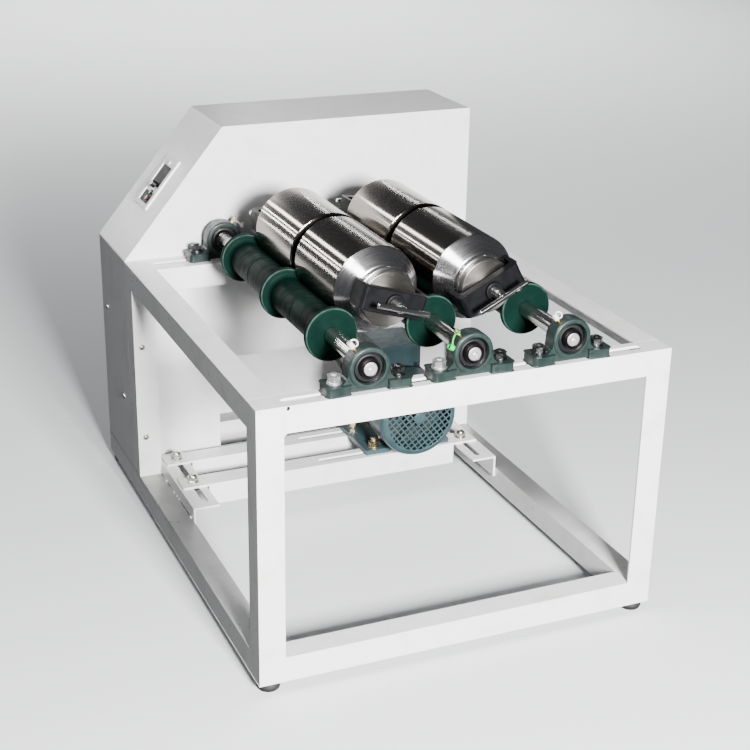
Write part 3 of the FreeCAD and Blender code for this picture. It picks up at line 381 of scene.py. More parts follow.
def softened(node, look, body, width, steps):
    """A CAD node again, with the small radii of the real part."""
    bm = ease_edges(node_mesh(node), width, steps)
    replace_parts(piece(f"{node}_soft", bm, look, body), node)


def dress(node, look):
    """A CAD node whose shape is right, with its own material."""
    for part in NODES[node].material_slots:
        part.material = look


def union(*meshes):
    """Several meshes in one."""
    result = bmesh.new()
    for bm in meshes:
        spare = bpy.data.meshes.new("spare")
        bm.to_mesh(spare)
        bm.free()
        result.from_mesh(spare)
        bpy.data.meshes.remove(spare)
    return result


def moved(bm, matrix):
    """The mesh itself, moved."""
    bm.transform(matrix)
    return bm


def at(x, y, z):
    """A shift in metres."""
    return Matrix.Translation((x, y, z))


def spin(degrees, axis):
    """A turn about an axis."""
    return Matrix.Rotation(math.radians(degrees), 4, axis)


def arc(radius, angles, height=0):
    """Points round (0, height) in millimetres, at angles in degrees."""
    return [(radius * math.cos(math.radians(angle)), height + radius * math.sin(math.radians(angle)))
            for angle in angles]


def centre(node):
    """The middle of a CAD node's box, in metres."""
    low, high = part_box(node)
    return (low + high) / 2


def axis_of(joint):
    """A point on a joint's axis, in metres."""
    return Vector(JOINTS[joint]["pos_m"])


# Fasteners

def hex_head(across, height):
    """A hexagon along local Y with turned corners."""
    corners = arc(across / math.sqrt(3), range(30, 390, 60))
    return ease_edges(extruded(corners, 0, height), 0.6, 2)


def nut_and_bolt(name, place, radius, look, height, thread=None):
    """Two washers and a nut along local Y, with a threaded end, or a dome where no thread is given."""
    seat, pitch = 3, 0.8
    top = seat + height
    parts = [turned(eased([(0, 0), (radius * 2.1, 0), (radius * 2.1, 1.6), (0, 1.6)], 0.4), 32),
             turned(eased([(0, 1.6), (radius * 1.75, 1.6), (radius * 1.7, seat), (0, seat)], 0.3), 32),
             moved(hex_head(radius * 3.3, height), at(0, seat * MM, 0))]
    if thread is None:
        dome = [(radius * 1.45 * math.cos(math.radians(a)),
                 top - 0.4 + radius * 1.1 * math.sin(math.radians(a))) for a in range(0, 91, 10)]
        parts.append(turned(dome, 32))
    else:
        outline = [(0, top - 1)]
        for k in range(int(thread / pitch)):
            start = top + k * pitch
            outline += [(radius - 0.5, start), (radius - 0.05, start + pitch / 2)]
        outline += [(radius - 1.1, top + thread), (0, top + thread)]
        parts.append(turned(outline, 28))
    return piece(name, union(*parts), look, "mill", place)


UP = spin(90, "X")


# Frame

def weld(start, end):
    """A painted weld bead with its ripples between two points in millimetres."""
    start, radius = Vector(start), 1.9
    run = Vector(end) - start
    count = max(6, int(run.length / 1.6))
    side = run.orthogonal().normalized()
    other = run.normalized().cross(side)
    bm = bmesh.new()
    rings = []
    for k in range(count + 1):
        part = k / count
        swell = radius * (0.82 + 0.22 * math.sin(k * 2.4) + 0.1 * random.random())
        swell *= min(1, 0.35 + 6 * part, 0.35 + 6 * (1 - part))
        spot = start + run * part
        rings.append([bm.verts.new((spot + side * swell * math.cos(math.pi * j / 4)
                                    + other * swell * math.sin(math.pi * j / 4)) * MM) for j in range(8)])
    for first, second in zip(rings, rings[1:]):
        for j in range(8):
            bm.faces.new((first[j], first[(j + 1) % 8], second[(j + 1) % 8], second[j]))
    bm.faces.new(rings[0])
    bm.faces.new(rings[-1])
    return bm


def build_frame():
    """Tubes and angles with eased edges, weld beads at the brackets, dark strips of painted shadow between
    them, and chips in the paint.
    """
    for node in ("base_rails", "front_posts", "middle_posts", "rear_posts", "side_top_rails",
                 "motor_brackets", "motor_rail_front", "motor_rail_rear", "front_bearing_rail",
                 "rear_bearing_rail"):
        softened(node, FRAME_PAINT, "mill", 0.5, 2)
    beads, gap_shadow_strips = [], []
    rail_side, rail_top = 285.6, 55.2
    for x in (-rail_side, rail_side):
        beads += [weld((x, y - 4, rail_top), (x, y + 4, rail_top)) for y in (181, 133, 117, 103, 32)]
        # Dark strips between the tack welds: painted shadow of the gaps under the bracket flanges.
        strip = [(x - 0.7, 54.9), (x + 0.7, 54.9), (x + 0.7, rail_top), (x - 0.7, rail_top)]
        gap_shadow_strips += [extruded(strip, y - reach, y + reach) for y, reach in ((165, 6), (67, 24), (218, 12))]
    piece("bracket_welds", union(*beads), FRAME_PAINT, "mill")
    piece("bracket_gap_shadows", union(*gap_shadow_strips), RUBBER, "mill")

    fillet = extruded([(-285.2, 401), (-285.2, 405.2), (-281, 405.2)], -432, -394)
    piece("corner_fillet", ease_edges(fillet, 0.3, 1), FRAME_PAINT, "mill")
    behind_face = -432.3
    spot = [(0, 2.4), (1.6, 1.5), (1.9, 0.2), (1.1, -1.6), (-0.3, -2.3), (-1.7, -1.4), (-1.2, 0.3),
            (-1.5, 1.6)]
    chips = [extruded([(u * 1.5 - 279.2, v * 1.3 + 441.4) for u, v in spot], -432.7, behind_face)]
    for u, v, wide in ((-321, 440.2, 2.2), (-317.4, 438.9, 1.3), (-309, 437.6, 1.6), (-313.2, 440.4, 0.9)):
        mark = [(u, v), (u + wide, v - 0.3), (u + wide, v + 0.5), (u, v + 0.6)]
        chips.append(extruded(mark, -432.65, behind_face))
    piece("paint_chips", union(*chips), BARE_IRON, "mill")


def build_feet():
    """Four turned rubber feet."""
    low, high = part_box("levelling_feet")
    rise = (high.z - low.z) / MM
    radius = 18
    outline = eased([(0, 0), (radius - 2, 0), (radius, rise * 0.45), (radius - 1, rise - 3),
                     (radius - 5, rise), (0, rise)], 1.4)
    parts = [moved(turned(outline, 40), at(x, y, low.z) @ UP)
             for x in (low.x + radius * MM, high.x - radius * MM)
             for y in (low.y + radius * MM, high.y - radius * MM)]
    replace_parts(piece("feet_rubber", union(*parts), RUBBER, "mill"), "levelling_feet")


# Cover

def inset(points, depth):
    """An open outline moved to the right of its run."""
    sides = []
    for start, end in zip(points, points[1:]):
        run = (Vector(end) - Vector(start)).normalized()
        sides.append(Vector((run.y, -run.x)))
    result = []
    for k, point in enumerate(points):
        first, second = sides[max(k - 1, 0)], sides[min(k, len(sides) - 1)]
        result.append(Vector(point) + (first + second) * depth / (1 + first.dot(second)))
    return result


def windowed(bm, place, wide, low, high):
    """The sheet with a window behind the control panel, in millimetres from the knob."""
    def chamfer():
        """The faces along the panel."""
        bm.normal_update()
        return [face for face in bm.faces if abs(face.normal.y) > 0.999]

    moved(bm, place.inverted())
    for axis, spot in ((0, -wide), (0, wide), (2, low), (2, high)):
        direction = Vector([float(axis == k) for k in range(3)])
        faces = chamfer()
        edges = {edge for face in faces for edge in face.edges}
        corners = {vertex for face in faces for vertex in face.verts}
        bmesh.ops.bisect_plane(bm, geom=[*faces, *edges, *corners], plane_co=direction * spot * MM,
                               plane_no=direction)
    hole = []
    for face in chamfer():
        middle = face.calc_center_median() / MM
        if abs(middle.x) < wide and low < middle.z < high:
            hole.append(face)
    bmesh.ops.delete(bm, geom=hole, context="FACES")
    bmesh.ops.bridge_loops(bm, edges=[edge for edge in bm.edges if edge.is_boundary])
    return moved(bm, place)


def build_cover():
    """One bent sheet over the drive, with plain panels in front and behind."""
    low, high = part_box("cover_shell")
    corners = [vertex.co for vertex in NODES["cover_shell"].data.vertices]
    knee = max(corner.z for corner in corners if corner.x < low.x + 0.0001)
    fold = min(corner.x for corner in corners if corner.z > high.z - 0.0001)
    run = [(low.x, low.z), (low.x, knee), (fold, high.z), (high.x, high.z), (high.x, low.z)]
    run = [(x / MM, z / MM) for x, z in run]
    thickness = 1.5
    outer, inner = eased(run, 2.4, 4), eased(inset(run, thickness), 1, 3)
    sheet = extruded([*outer, *reversed(inner)], low.y / MM, high.y / MM)
    windowed(sheet, panel_place(0), wide=22, low=-34, high=38)
    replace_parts(piece("cover_sheet", sheet, COVER_PAINT, "mill"), "cover_shell")
    for node in ("cover_upper_panel", "cover_lower_panel", "cover_back_panel"):
        dress(node, COVER_PAINT)


def dome_screw(name, place, radius=4.3):
    """A cross-recess pan head with its washer, along local Y."""
    bowl = [(radius * math.cos(math.radians(a)), 0.8 + 2.2 * math.sin(math.radians(a)))
            for a in range(0, 91, 12)]
    head = turned([(0, 0), (radius, 0), *bowl], 28)
    washer = turned(eased([(0, 0), (radius + 1.6, 0), (radius + 1.6, 0.7), (0, 0.7)], 0.2), 28)
    # The cross recess is black bars on the head: painted shade for the hollow.
    bars = []
    for angle in (0, 90):
        bar = extruded([(-2.2, -0.45), (2.2, -0.45), (2.2, 0.45), (-2.2, 0.45)], 2.6, 3.05)
        bars.append(moved(bar, spin(angle, "Y")))
    piece(name, union(head, washer), ZINC, "mill", place)
    piece(f"{name}_recess", union(*bars), SEAL, "mill", place)


def build_cover_screws():
    """Screws in the cover's sides, the middle posts and the back panel."""
    low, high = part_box("cover_shell")
    post_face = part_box("middle_posts")[0].y
    margin, small = 0.014, 3.6
    for side, x, inwards in (("left", low.x, 1), ("right", high.x, -1)):
        for k, (y, z) in enumerate(((low.y + 0.048, 0.178), (high.y - 0.038, 0.317))):
            place = at(x, y, z) @ spin(90 * inwards, "Z") @ spin(30 * k, "Y")
            dome_screw(f"cover_screw_{side}_{k}", place)
        for k, z in enumerate((0.131, 0.301)):
            place = at(x + margin * inwards, post_face, z) @ spin(180, "Z")
            dome_screw(f"post_screw_{side}_{k}", place, small)
    for k, x in enumerate((low.x + margin, high.x - margin)):
        for z in (0.08, 0.24, 0.40):
            dome_screw(f"back_screw_{k}_{int(z * 100)}", at(x, high.y, z), small)


# Motor

def build_motor():
    """Cowl with its diamond grille, then the motor's castings, fan and cowl screws."""
    axis = axis_of("motor_spin")
    low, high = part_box("motor_cowl")
    size = (high - low) / MM
    wide, long = size.x / 2, size.y
    place = at(axis.x, low.y, axis.z)
    wall, corner = 2, 11
    ring_start = wide - corner - 2
    section = [(ring_start, 0), (wide - corner, 0), (wide - 3, 3.5), (wide, corner), (wide, long),
               (wide - wall, long), (wide - wall, corner), (wide - corner, wall), (ring_start, wall)]
    body = turned(eased(section, 2.5, 4, True), 96, True)
    bars = []
    pitch, thick, turn = 9.2, 2.4, 54
    count = int(ring_start / pitch) + 1
    for direction in (0, 90):
        for k in range(-count, count + 1):
            offset = k * pitch
            if abs(offset) > ring_start:
                continue
            half = math.sqrt(ring_start ** 2 - offset ** 2) + 1
            below, above = offset - thick / 2, offset + thick / 2
            bar = extruded([(-half, below), (half, below), (half, above), (-half, above)],
                           0.3 + direction / 900, wall)
            bars.append(moved(bar, spin(direction + turn, "Y")))
    hub = turned(eased([(0, -0.2), (9, -0.2), (10, 0.4), (10, wall), (0, wall)], 0.4), 40)
    cowl = piece("cowl_dressed", union(body, hub, *bars), MOTOR_PAINT, "mill", place)
    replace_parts(cowl, "motor_cowl")
    for node in ("motor_frame", "motor_terminal_box", "motor_end_bells"):
        softened(node, MOTOR_PAINT, "mill", 0.5, 1)
    softened("motor_fan", FAN, "rotor", 0.3, 1)
    for k, angle in enumerate((45, 135, 225, 315)):
        spot = place @ spin(angle, "Y") @ at(0, (long - 9) * MM, wide * MM) @ spin(90, "X")
        dome_screw(f"cowl_screw_{k}", spot, radius=2.8)


def build_motor_bolts():
    """Dome nuts on the brackets, yellow nuts on the motor's feet, and their bolt heads below."""
    motor = axis_of("motor_spin").x
    rail_bolt, motor_bolt = 0.258, 0.0625
    foot_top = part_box("motor_frame")[0].z + 0.009
    nuts, heads = [], []
    for row, rail in enumerate(("motor_rail_front", "motor_rail_rear")):
        y, top = centre(rail).y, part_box(rail)[1].z
        for side in (-1, 1):
            place = at(rail_bolt * side, y, top) @ UP @ spin(17 * row, "Y")
            nuts.append(nut_and_bolt(f"rail_nut_{row}_{side + 1}", place, 5, ZINC, 6.5))
            place = at(motor + motor_bolt * side, y, foot_top) @ UP @ spin(11 * row, "Y")
            nuts.append(nut_and_bolt(f"foot_nut_{row}_{side + 1}", place, 5, GOLD_BOLT, 8, 9))
        for x, drop in ((-rail_bolt, 0.008), (rail_bolt, 0.008), (motor - motor_bolt, 0.004),
                        (motor + motor_bolt, 0.004)):
            heads.append(moved(hex_head(16.5, 6.5), at(x, y, top - drop) @ spin(-90, "X")))
    piece("mount_bolt_heads", union(*heads), ZINC, "mill")
    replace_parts(nuts[0], "motor_mount_bolts")


# Bearings

ROWS = {"front": "front_bearing_housings", "rear": "rear_bearing_housings"}
HOUSING = {"rise": 33.3, "half": 63.5, "base": 14, "ring": 31, "width": 38, "ring_width": 27, "bore": 23.5,
           "bolt": 47.5}
NIPPLE_LEAN = 35


def housing_mesh():
    """One pillow block casting about local Y, with its foot at local zero height."""
    rise, half, base = HOUSING["rise"], HOUSING["half"], HOUSING["base"]
    ring, bore, deep = HOUSING["ring"], HOUSING["bore"], HOUSING["ring_width"] / 2
    section = [(bore, -deep), (ring - 2, -deep), (ring, 2.5 - deep), (ring, deep - 2.5), (ring - 2, deep),
               (bore, deep), (bore, deep - 3.5), (bore - 0.4, deep - 4.5), (bore - 0.4, 4.5 - deep),
               (bore, 3.5 - deep)]
    boss = moved(turned(eased(section, 1.2, 3, True), 72, True), at(0, 0, rise * MM))
    arch = [(-half + 23, 1.5), (half - 23, 1.5), (half - 25, base), (ring + 0.5, base + 7), (ring - 1, rise)]
    arch += arc(ring, (-12, -35), rise) + arc(bore * 1.08, range(-40, -141, -10), rise)
    arch += arc(ring, (-145, -168), rise) + [(1 - ring, rise), (-ring - 0.5, base + 7), (-half + 25, base)]
    web = ease_edges(extruded(arch, 2 - deep, deep - 2), 1.2, 2, 50)
    feet = []
    wide = HOUSING["width"] / 2
    for side in (-1, 1):
        outline = [(side * 28, -wide + 3), (side * (half - 4), -wide), (side * half, -wide + 5),
                   (side * half, wide - 5), (side * (half - 4), wide), (side * 28, wide - 3)]
        foot = extruded(eased(outline, 3, 4, True), 0, base, "Z")
        feet.append(ease_edges(foot, 1.6, 3, 50))
        outline = [(side * 29, -6), (side * 38, -6), (side * 38, 6), (side * 29, 6)]
        rib = extruded(outline, base - 2, base + 5, "Z")
        feet.append(ease_edges(rib, 2, 2, 50))
    return union(boss, web, *feet)


def nipple_matrix(x, y, z, reach):
    """Local Y outwards along a grease nipple, this far from the roller's axis in millimetres."""
    lean = -NIPPLE_LEAN if y < 0 else NIPPLE_LEAN
    return at(x, y, z) @ spin(lean, "Y") @ at(0, 0, reach * MM) @ UP


def build_inserts(rows):
    """Dark outer rings, seals and grease nipples of all six bearings."""
    bore = HOUSING["bore"]
    rings, seals, nipples = [], [], []
    race = eased([(20.4, -8.5), (bore - 0.5, -8.5), (bore - 0.5, 8.5), (20.4, 8.5)], 0.6, 2, True)
    cup = eased([(14.8, -7.2), (16.5, -7.9), (18.6, -7.3), (20.4, -7.6), (20.4, 7.6), (18.6, 7.3),
                 (16.5, 7.9), (14.8, 7.2)], 0.5, 2, True)
    tip = eased([(0, -1), (3.4, -1), (3.4, 3.4), (2.1, 4.4), (1.9, 7), (3.1, 8.4), (3.1, 10),
                 (1.6, 11.6), (0, 12)], 0.4, 2)
    for y in rows.values():
        for index in (1, 2, 3):
            axis = axis_of(f"roller_{index}_spin")
            rings.append(moved(turned(race, 64, True), at(axis.x, y, axis.z)))
            seals.append(moved(turned(cup, 64, True), at(axis.x, y, axis.z)))
            nipples.append(moved(turned(tip, 24), nipple_matrix(axis.x, y, axis.z, HOUSING["ring"] - 0.5)))
    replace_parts(piece("outer_rings", union(*rings), RING_STEEL, "mill"), "bearing_inserts")
    piece("seals", union(*seals), SEAL, "mill")
    piece("nipples", union(*nipples), BRASS, "mill")


def tube(name, points, radius, look, body):
    """A round wire or strap through points in metres."""
    curve = bpy.data.curves.new(name, "CURVE")
    curve.dimensions = "3D"
    curve.bevel_depth = radius * MM
    curve.bevel_resolution = 4
    curve.use_fill_caps = True
    line = curve.splines.new("NURBS")
    line.points.add(len(points) - 1)
    for point, place in zip(line.points, points):
        point.co = (*place, 1)
    line.use_endpoint_u = True
    line.order_u = 3
    curve.materials.append(look)
    item = bpy.data.objects.new(name, curve)
    bpy.context.scene.collection.objects.link(item)
    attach(item, body)
    return item


def build_caps(rows):
    """Plastic straps round four grease nipples, each with its cap."""
    hanging = [(-3.5, 0, 0), (-9, -0.5, 3), (-15, -3.5, 6), (-19.8, -8.8, 9)]
    looped = [(3.2, 9, 0), (8, 8, 0.5), (10, 2.5, 1.5), (7, -3, 1.5), (3.4, -2.6, 0)]
    trailing = [(3.5, 0, 0), (8, 1.5, 2), (12, -1, 5), (16.5, -1.5, 7)]
    for name, row, index, look, spots, radius in (
            ("green", "front", 2, GREEN_CAP, hanging, 4.3), ("clear", "front", 1, CLEAR_CAP, looped, 3.7),
            ("pale", "front", 3, CLEAR_CAP, looped, 3.7), ("rear", "rear", 1, CLEAR_CAP, trailing, 2.9)):
        axis = axis_of(f"roller_{index}_spin")
        neck = nipple_matrix(axis.x, rows[row], axis.z, HOUSING["ring"] + 5.5)
        collar = turned(eased([(2.2, -1), (4.3, -1), (4.3, 1), (2.2, 1)], 0.3, 2, True), 28, True)
        piece(f"strap_ring_{name}", collar, look, "mill", neck)
        wire = 0.8 if name == "rear" else 1.2
        run = [neck @ (Vector(spot) * MM) for spot in spots]
        tube(f"strap_{name}", run, wire, look, "mill")
        outline = [(0, -1.5), (radius, -1.5), (radius, 6.5), (radius - 1, 6.5), (radius - 1.2, 0), (0, 0)]
        if spots is looped:
            place = neck @ at(0, 7.5 * MM, 0) @ spin(180, "X")
        else:
            place = neck @ at(*(Vector(spots[-1]) * MM)) @ spin(25, "Z")
        cap = turned(eased(outline, 0.5, 2), 28)
        piece(f"strap_cap_{name}", cap, look, "mill", place)


def build_bearings():
    """Castings, nuts and bolt heads of both rows, then the inserts and straps."""
    rows = {row: centre(node).y for row, node in ROWS.items()}
    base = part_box(ROWS["front"])[0].z
    heads = []
    for row, y in rows.items():
        castings = []
        for index in (1, 2, 3):
            x = axis_of(f"roller_{index}_spin").x
            castings.append(moved(housing_mesh(), at(x, y, base)))
            for side in (-1, 1):
                across = x + HOUSING["bolt"] * MM * side
                turn = spin(13 * index + 31 * side, "Y")
                place = at(across, y, base + HOUSING["base"] * MM) @ UP @ turn
                finish = PALE_NUT if row == "front" and side < 0 and index < 3 else DARK_BOLT
                nut_and_bolt(f"block_nut_{row}_{index}_{side + 1}", place, 5.2, finish, 9, 3)
                heads.append(moved(hex_head(17, 6.5), at(across, y, base - 0.004) @ spin(-90, "X")))
        item = piece(f"housings_{row}", union(*castings), HOUSING_PAINT, "mill")
        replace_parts(item, ROWS[row])
    item = piece("block_bolt_heads", union(*heads), DARK_BOLT, "mill")
    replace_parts(item, "bearing_bolts")
    build_inserts(rows)
    build_caps(rows)


# Rollers

def build_rollers():
    """Shafts with their inner rings and sleeves, then the belt drive."""
    front_y, rear_y = centre(ROWS["front"]).y / MM, centre(ROWS["rear"]).y / MM
    for index in (1, 2, 3):
        axis = axis_of(f"roller_{index}_spin")
        body = f"roller_{index}"
        low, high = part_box(f"roller_{index}_shaft")
        place = at(axis.x, 0, axis.z)
        start, end = low.y / MM, high.y / MM
        journal, thick, ring = 10, 12.5, 15.5
        outline = [(0, start + 5), (2.2, start + 3), (3.6, start), (journal - 1, start), (journal, start + 1),
                   (journal, front_y + ring), (thick - 0.5, front_y + ring), (thick, front_y + ring + 0.5),
                   (thick, rear_y - ring - 0.5), (thick - 0.5, rear_y - ring), (journal, rear_y - ring),
                   (journal, end - 1), (journal - 1, end), (3.6, end), (2.2, end - 3), (0, end - 5)]
        bar = turned(eased(outline, 0.3, 2), 64)
        bar.normal_update()
        for face in bar.faces:
            spot = face.calc_center_median().y
            face.material_index = int(abs(face.normal.y) > 0.3 and not start + 6 < spot / MM < end - 6)
        item = piece(f"{body}_bar", bar, (SHAFT_STEEL, END_STEEL), body, place)
        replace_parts(item, f"roller_{index}_shaft")
        races = []
        for y in (front_y, rear_y):
            race = [(journal, y - ring), (14.5, y - ring), (14.5, y + ring), (journal, y + ring)]
            races.append(turned(eased(race, 1.1, 3, True), 64, True))
        piece(f"{body}_inner_rings", union(*races), RING_STEEL, body, place)
        build_spools(index, place)
    softened("driven_pulley", IRON, "roller_2", 0.4, 1)
    softened("motor_pulley", IRON, "rotor", 0.4, 1)
    softened("motor_shaft", SHAFT_STEEL, "rotor", 0.4, 1)
    softened("v_belt", BELT, "mill", 0.4, 1)


def build_spools(index, place):
    """One cast sleeve in three lengths, each with its limit disc."""
    low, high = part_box(f"roller_{index}_sleeve")
    half, big, small, bore = 6, 41, 28, 12.5
    first, last = low.y / MM + half, high.y / MM - half
    pitch = (last - first) / 2
    for k in range(3):
        line = first + pitch * k
        rim = [(big - 5, -half), (big - 2.2, -half + 0.7), (big, -half + 3), (big, half - 3),
               (big - 2.2, half - 0.7), (big - 5, half)]
        outline = [(bore, -half), (bore + 5, -half)]
        if k > 0:
            outline = [(bore, -pitch / 2 + 0.15), (small - 0.8, -pitch / 2 + 0.15), (small, -pitch / 2 + 1),
                       (small, -half - 6), (small + 1.6, -half - 2), (small + 5, -half)]
        outline += rim
        if k < 2:
            outline += [(small + 5, half), (small + 1.6, half + 2), (small, half + 6), (small, pitch / 2 - 1),
                        (small - 0.8, pitch / 2 - 0.15), (bore, pitch / 2 - 0.15)]
        else:
            outline += [(bore + 5, half), (bore, half)]
        bm = turned(eased(outline, 1.2, 3, True), 80, True)
        item = piece(f"roller_{index}_sleeve_{k}", bm, POLYURETHANE, f"roller_{index}",
                     place @ at(0, line * MM, 0))
        if k == 0:
            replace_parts(item, f"roller_{index}_sleeve")


# Jars

JAR = {"radius": 66, "length": 161, "cone": 28, "neck": 45, "groove": 41.5, "groove_width": 6, "flange": 6,
       "mouth": 35, "gasket": 1.7, "lid": 7, "lid_radius": 41.5, "wall": 4}


def jar_matrix(k):
    """Local Y from a jar's bottom to its lid, local X along the clamp bar."""
    axis = axis_of(f"jar_{k}_spin")
    low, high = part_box(f"jar_{k}_shell")
    forward = centre(f"jar_{k}_lid").y < axis.y
    slide = Vector(JOINTS[f"jar_{k}_closure_slide"]["axis"])
    turn = Matrix.Rotation(math.atan2(slide.x, slide.z), 4, "Y")
    place = at(axis.x, high.y if forward else low.y, axis.z) @ turn
    return place @ spin(180, "Z") if forward else place


def shell_mesh():
    """Body, then the cone and neck, as two meshes of one turned part."""
    wide, length, wall = JAR["radius"], JAR["length"], JAR["wall"]
    top = length + JAR["cone"]
    flange = top + JAR["groove_width"]
    seat = flange + JAR["flange"]
    body = eased([(0, 1.2), (20, 1.2), (21, 0), (wide - 1.3, 0), (wide, 1.8), (wide, length - 0.4),
                  (wide - 0.4, length)], 0.5, 2)
    cone = eased([(wide - 0.4, length), (JAR["neck"] + 0.6, top - 0.6), (JAR["neck"] - 0.6, top),
                  (JAR["groove"], top), (JAR["groove"], flange), (JAR["neck"] - 0.6, flange),
                  (JAR["neck"], flange + 0.6), (JAR["neck"], seat - 0.8), (JAR["neck"] - 0.8, seat),
                  (JAR["mouth"], seat), (JAR["mouth"], top), (wide - wall, length - wall / 2),
                  (wide - wall, wall), (0, wall)], 0.5, 2)
    return turned(body, 128), turned(cone, 128), seat


def yoke_mesh(seat):
    """The black clamp: a bar with a hook leg at each end."""
    low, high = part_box("jar_3_yoke")
    half, across = (high.x - low.x) / MM / 2, (high.z - low.z) / MM / 2
    leg, hook, groove = 46, 42.6, JAR["length"] + JAR["cone"] + 1.5
    under = seat + JAR["gasket"] + JAR["lid"] + 8
    top = under + 12
    right = [(leg - 4, under), (leg, under - 4), (leg, groove + 4), (hook, groove + 4), (hook, groove),
             (half, groove), (half, top - 4), (half - 4, top)]
    bm = extruded([*right, *[(-u, v) for u, v in reversed(right)]], -across, across, "Z")
    ease_edges(bm, 1.1, 3, 35)
    boss = [(8.2, top - 1), (14, top - 1), (14, top + 4), (13, top + 5), (8.2, top + 5)]
    return union(bm, turned(eased(boss, 0.6, 2, True), 48, True)), top


def screw_mesh(top):
    """Threaded clamp screw with a plain end, and the handle bar through it."""
    head, cross = top + 23, top + 32.5
    outline = [(0, top - 19.6), (6, top - 19.6), (7.6, top - 16)]
    pitch = 1.9
    turns = int((head - top + 15) / pitch)
    for k in range(turns):
        start = top - 15 + k * pitch
        outline += [(7.95, start), (7.95, start + pitch * 0.4), (7.1, start + pitch * 0.7)]
    outline += [(7.1, head), (5.6, head + 1.2), (5.4, cross - 1), (4.4, cross + 0.6), (0, cross + 0.6)]
    screw = turned(outline, 48)
    bar = eased([(0, -42), (3.2, -42), (3.9, -41.2), (3.9, 41.2), (3.2, 42), (0, 42)], 0.4, 2)
    handle = moved(turned(bar, 40), at(0, cross * MM, 0) @ spin(90, "Z"))
    return screw, handle


def build_jars():
    """Four jars, each with its cone, lid, gasket, clamp, screw and handle."""
    gasket_rim, lid_rim = JAR["mouth"] + 1, JAR["lid_radius"]
    for k in (1, 2, 3, 4):
        place = jar_matrix(k)
        body, cone, seat = shell_mesh()
        barrel = piece(f"jar_{k}_barrel", body, JAR_STEEL, f"jar_{k}", place)
        piece(f"jar_{k}_cone", cone, CONE_STEEL, f"jar_{k}", place)
        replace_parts(barrel, f"jar_{k}_shell")

        closure = f"closure_{k}"
        gasket = seat + JAR["gasket"]
        lid_top = gasket + JAR["lid"]
        outline = [(0, gasket), (lid_rim, gasket), (lid_rim, lid_top - 1), (lid_rim - 1, lid_top),
                   (12, lid_top), (11, lid_top - 0.5), (0, lid_top - 0.5)]
        disc = turned(eased(outline, 0.4, 2), 96)
        lid = piece(f"jar_{k}_cap", disc, LID_STEEL, closure, place)
        outline = [(gasket_rim, seat), (lid_rim - 1, seat), (lid_rim - 1, gasket), (gasket_rim, gasket)]
        piece(f"jar_{k}_gasket", turned(outline, 64, True), RUBBER, closure, place)
        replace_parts(lid, f"jar_{k}_lid")
        yoke, top = yoke_mesh(seat)
        clamp = piece(f"jar_{k}_clamp", yoke, BLACK_CLAMP, closure, place)
        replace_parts(clamp, f"jar_{k}_yoke")

        thread, bar = screw_mesh(top)
        screw = piece(f"jar_{k}_screw", thread, BRIGHT_SCREW, f"screw_{k}", place)
        piece(f"jar_{k}_handle", bar, BRIGHT_SCREW, f"screw_{k}", place)
        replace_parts(screw, f"jar_{k}_clamp_screw")


# Controls

def panel_place(along):
    """Local Y out of the control panel's face and local Z up it, this far above the knob in millimetres."""
    out = Vector(JOINTS["speed_turn"]["axis"]).normalized()
    if out.z < 0:
        out = -out
    up = Vector((out.z, 0, -out.x))
    side = out.cross(up)
    knob = axis_of("speed_turn")
    face = max(vertex.co.dot(out) for vertex in NODES["control_display"].data.vertices)
    spot = knob + out * (face - knob.dot(out)) + up * along * MM
    return Matrix.Translation(spot) @ Matrix((side, out, up)).transposed().to_4x4()


def build_controls():
    """Pale bezel, dark face with a silver band, the knob, the keys and a latch above them."""
    softened("control_bezel", BEZEL, "mill", 0.8, 3)
    softened("control_display", PANEL_FACE, "mill", 0.2, 1)
    softened("start_button", GREEN_KEY, "start_key", 0.4, 2)
    softened("stop_button", RED_KEY, "stop_key", 0.4, 2)
    softened("speed_knob", KNOB, "speed_dial", 0.4, 2)
    band = extruded(eased([(-22, -6.5), (21, -6.5), (21, 6.5), (-22, 6.5)], 0.6, 2, True), 0, 0.25)
    piece("panel_band", band, SILVER_FACE, "mill", panel_place(-8))
    cap = turned(eased([(0, 8.9), (4.6, 8.9), (4.6, 9.4), (4.2, 9.7), (0, 9.7)], 0.2, 2), 36)
    piece("knob_cap", cap, SILVER_FACE, "speed_dial", panel_place(0))
    latch = turned(eased([(0, 1.9), (3.6, 1.9), (3.6, 3.4), (2.8, 4), (0, 4.1)], 0.4, 3), 36)
    piece("bezel_latch", latch, BEZEL, "mill", panel_place(46))


build_frame()
build_feet()
build_cover()
build_cover_screws()
build_motor()
build_motor_bolts()
build_bearings()
build_rollers()
build_jars()
build_controls()


# Setting

# Angle round the jars in degrees, width in metres and power in watts
STRIPS = ((45, 0.05, 7), (129, 0.22, 24), (148, 0.05, 13), (157, 0.05, 13), (176, 0.06, 11))


def build_floor():
    """A plain pale floor, hidden from bounce and reflection rays, under a dim sky."""
    look = Look("pale_floor", (0.78, 0.79, 0.80), 0.6)
    look.color(look.blend(look.noise(0.7, 3), (0.78, 0.79, 0.80), (0.76, 0.77, 0.785)))
    bm = bmesh.new()
    bmesh.ops.create_grid(bm, x_segments=1, y_segments=1, size=30)
    mesh = bpy.data.meshes.new("floor")
    bm.to_mesh(mesh)
    bm.free()
    mesh.materials.append(look.material)
    floor = bpy.data.objects.new("floor", mesh)
    bpy.context.scene.collection.objects.link(floor)
    floor.visible_diffuse = floor.visible_glossy = False

    world = bpy.data.worlds.new("studio")
    bpy.context.scene.world = world
    world.use_nodes = True
    back = world.node_tree.nodes["Background"]
    back.inputs["Color"].default_value = (0.70, 0.74, 0.80, 1)
    back.inputs["Strength"].default_value = 0.12


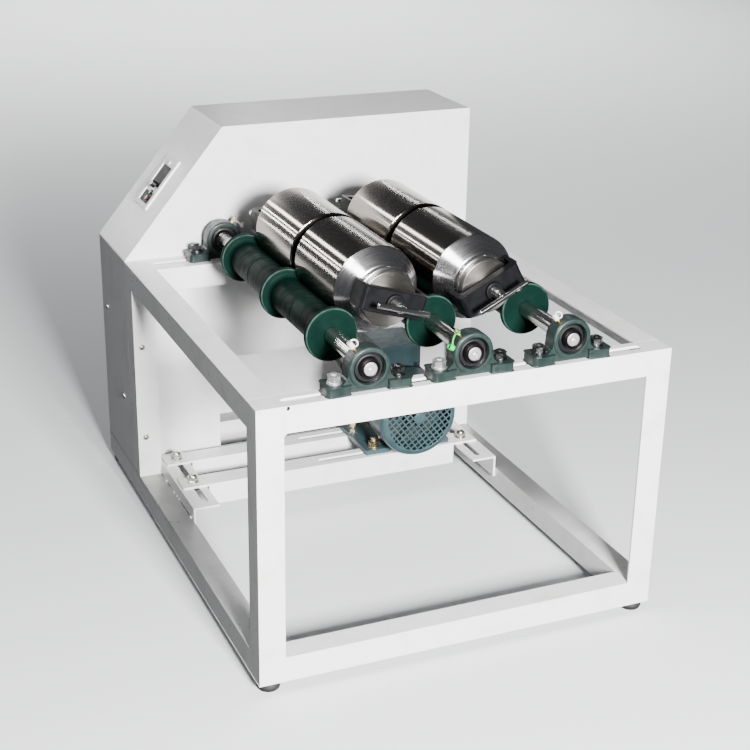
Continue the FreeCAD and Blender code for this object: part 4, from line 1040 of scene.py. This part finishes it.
def softbox(name, place, target, size, power, radial=None, diffuse=True, glossy=True):
    """A soft light that faces a target; radial turns its length along the jars."""
    light = bpy.data.lights.new(name, "AREA")
    light.shape = "RECTANGLE"
    light.size, light.size_y = size
    light.energy = power
    item = bpy.data.objects.new(name, light)
    bpy.context.scene.collection.objects.link(item)
    ahead = (Vector(target) - Vector(place)).normalized()
    turn = ahead.to_track_quat("-Z", "Y").to_matrix()
    if radial is not None:
        out = Vector((math.cos(math.radians(radial)), 0, math.sin(math.radians(radial))))
        side = out.cross(-ahead).normalized()
        turn = Matrix((side, (-ahead).cross(side), -ahead)).transposed()
    item.matrix_world = Matrix.Translation(place) @ turn.to_4x4()
    item.visible_diffuse, item.visible_glossy = diffuse, glossy
    return light


def build_lights():
    """Key and fill in front, a wash on the floor behind, and strips that only reflections show."""
    softbox("key", (-0.3, -3.3, 1.42), (0, 0, 0.35), (0.6, 0.6), 700)
    softbox("fill", (-2.6, -2.2, 0.9), (0, 0, 0.3), (1.4, 1.4), 22, glossy=False)
    wash = softbox("wash", (2, 7, 4.5), (1.6, 6, 0), (6, 6), 370, glossy=False)
    wash.spread = math.radians(80)
    softbox("crown", (-1.64, -0.7, 2.36), (0, -0.1, 0.55), (1.1, 0.8), 120, diffuse=False)
    away, length = 1.9, 1.6
    for index, (angle, wide, power) in enumerate(STRIPS):
        turn = math.radians(angle)
        spot = Vector((away * math.cos(turn), 3, 0.5 + away * math.sin(turn)))
        softbox(f"strip_{index}", spot, (0, -0.1, 0.5), (wide, length), power, angle, diffuse=False)


def build_camera():
    """The photo's camera, from its lens, its place and three angles."""
    camera = bpy.data.cameras.new("camera")
    camera.lens = 71.52
    camera.sensor_width = 36
    camera.clip_end = 100
    item = bpy.data.objects.new("camera", camera)
    yaw, pitch, roll = (math.radians(angle) for angle in (23.657, 22.109, 0.990))
    ahead = Vector((math.sin(yaw) * math.cos(pitch), math.cos(yaw) * math.cos(pitch), -math.sin(pitch)))
    level = Vector((math.cos(yaw), -math.sin(yaw), 0))
    lift = level.cross(ahead)
    right = level * math.cos(roll) + lift * math.sin(roll)
    up = lift * math.cos(roll) - level * math.sin(roll)
    turn = Matrix((right, up, -ahead)).transposed().to_4x4()
    item.matrix_world = at(-0.90378, -2.14386, 1.23056) @ turn
    bpy.context.scene.collection.objects.link(item)
    bpy.context.scene.camera = item


build_floor()
build_lights()
build_camera()
bpy.context.view_layer.update()
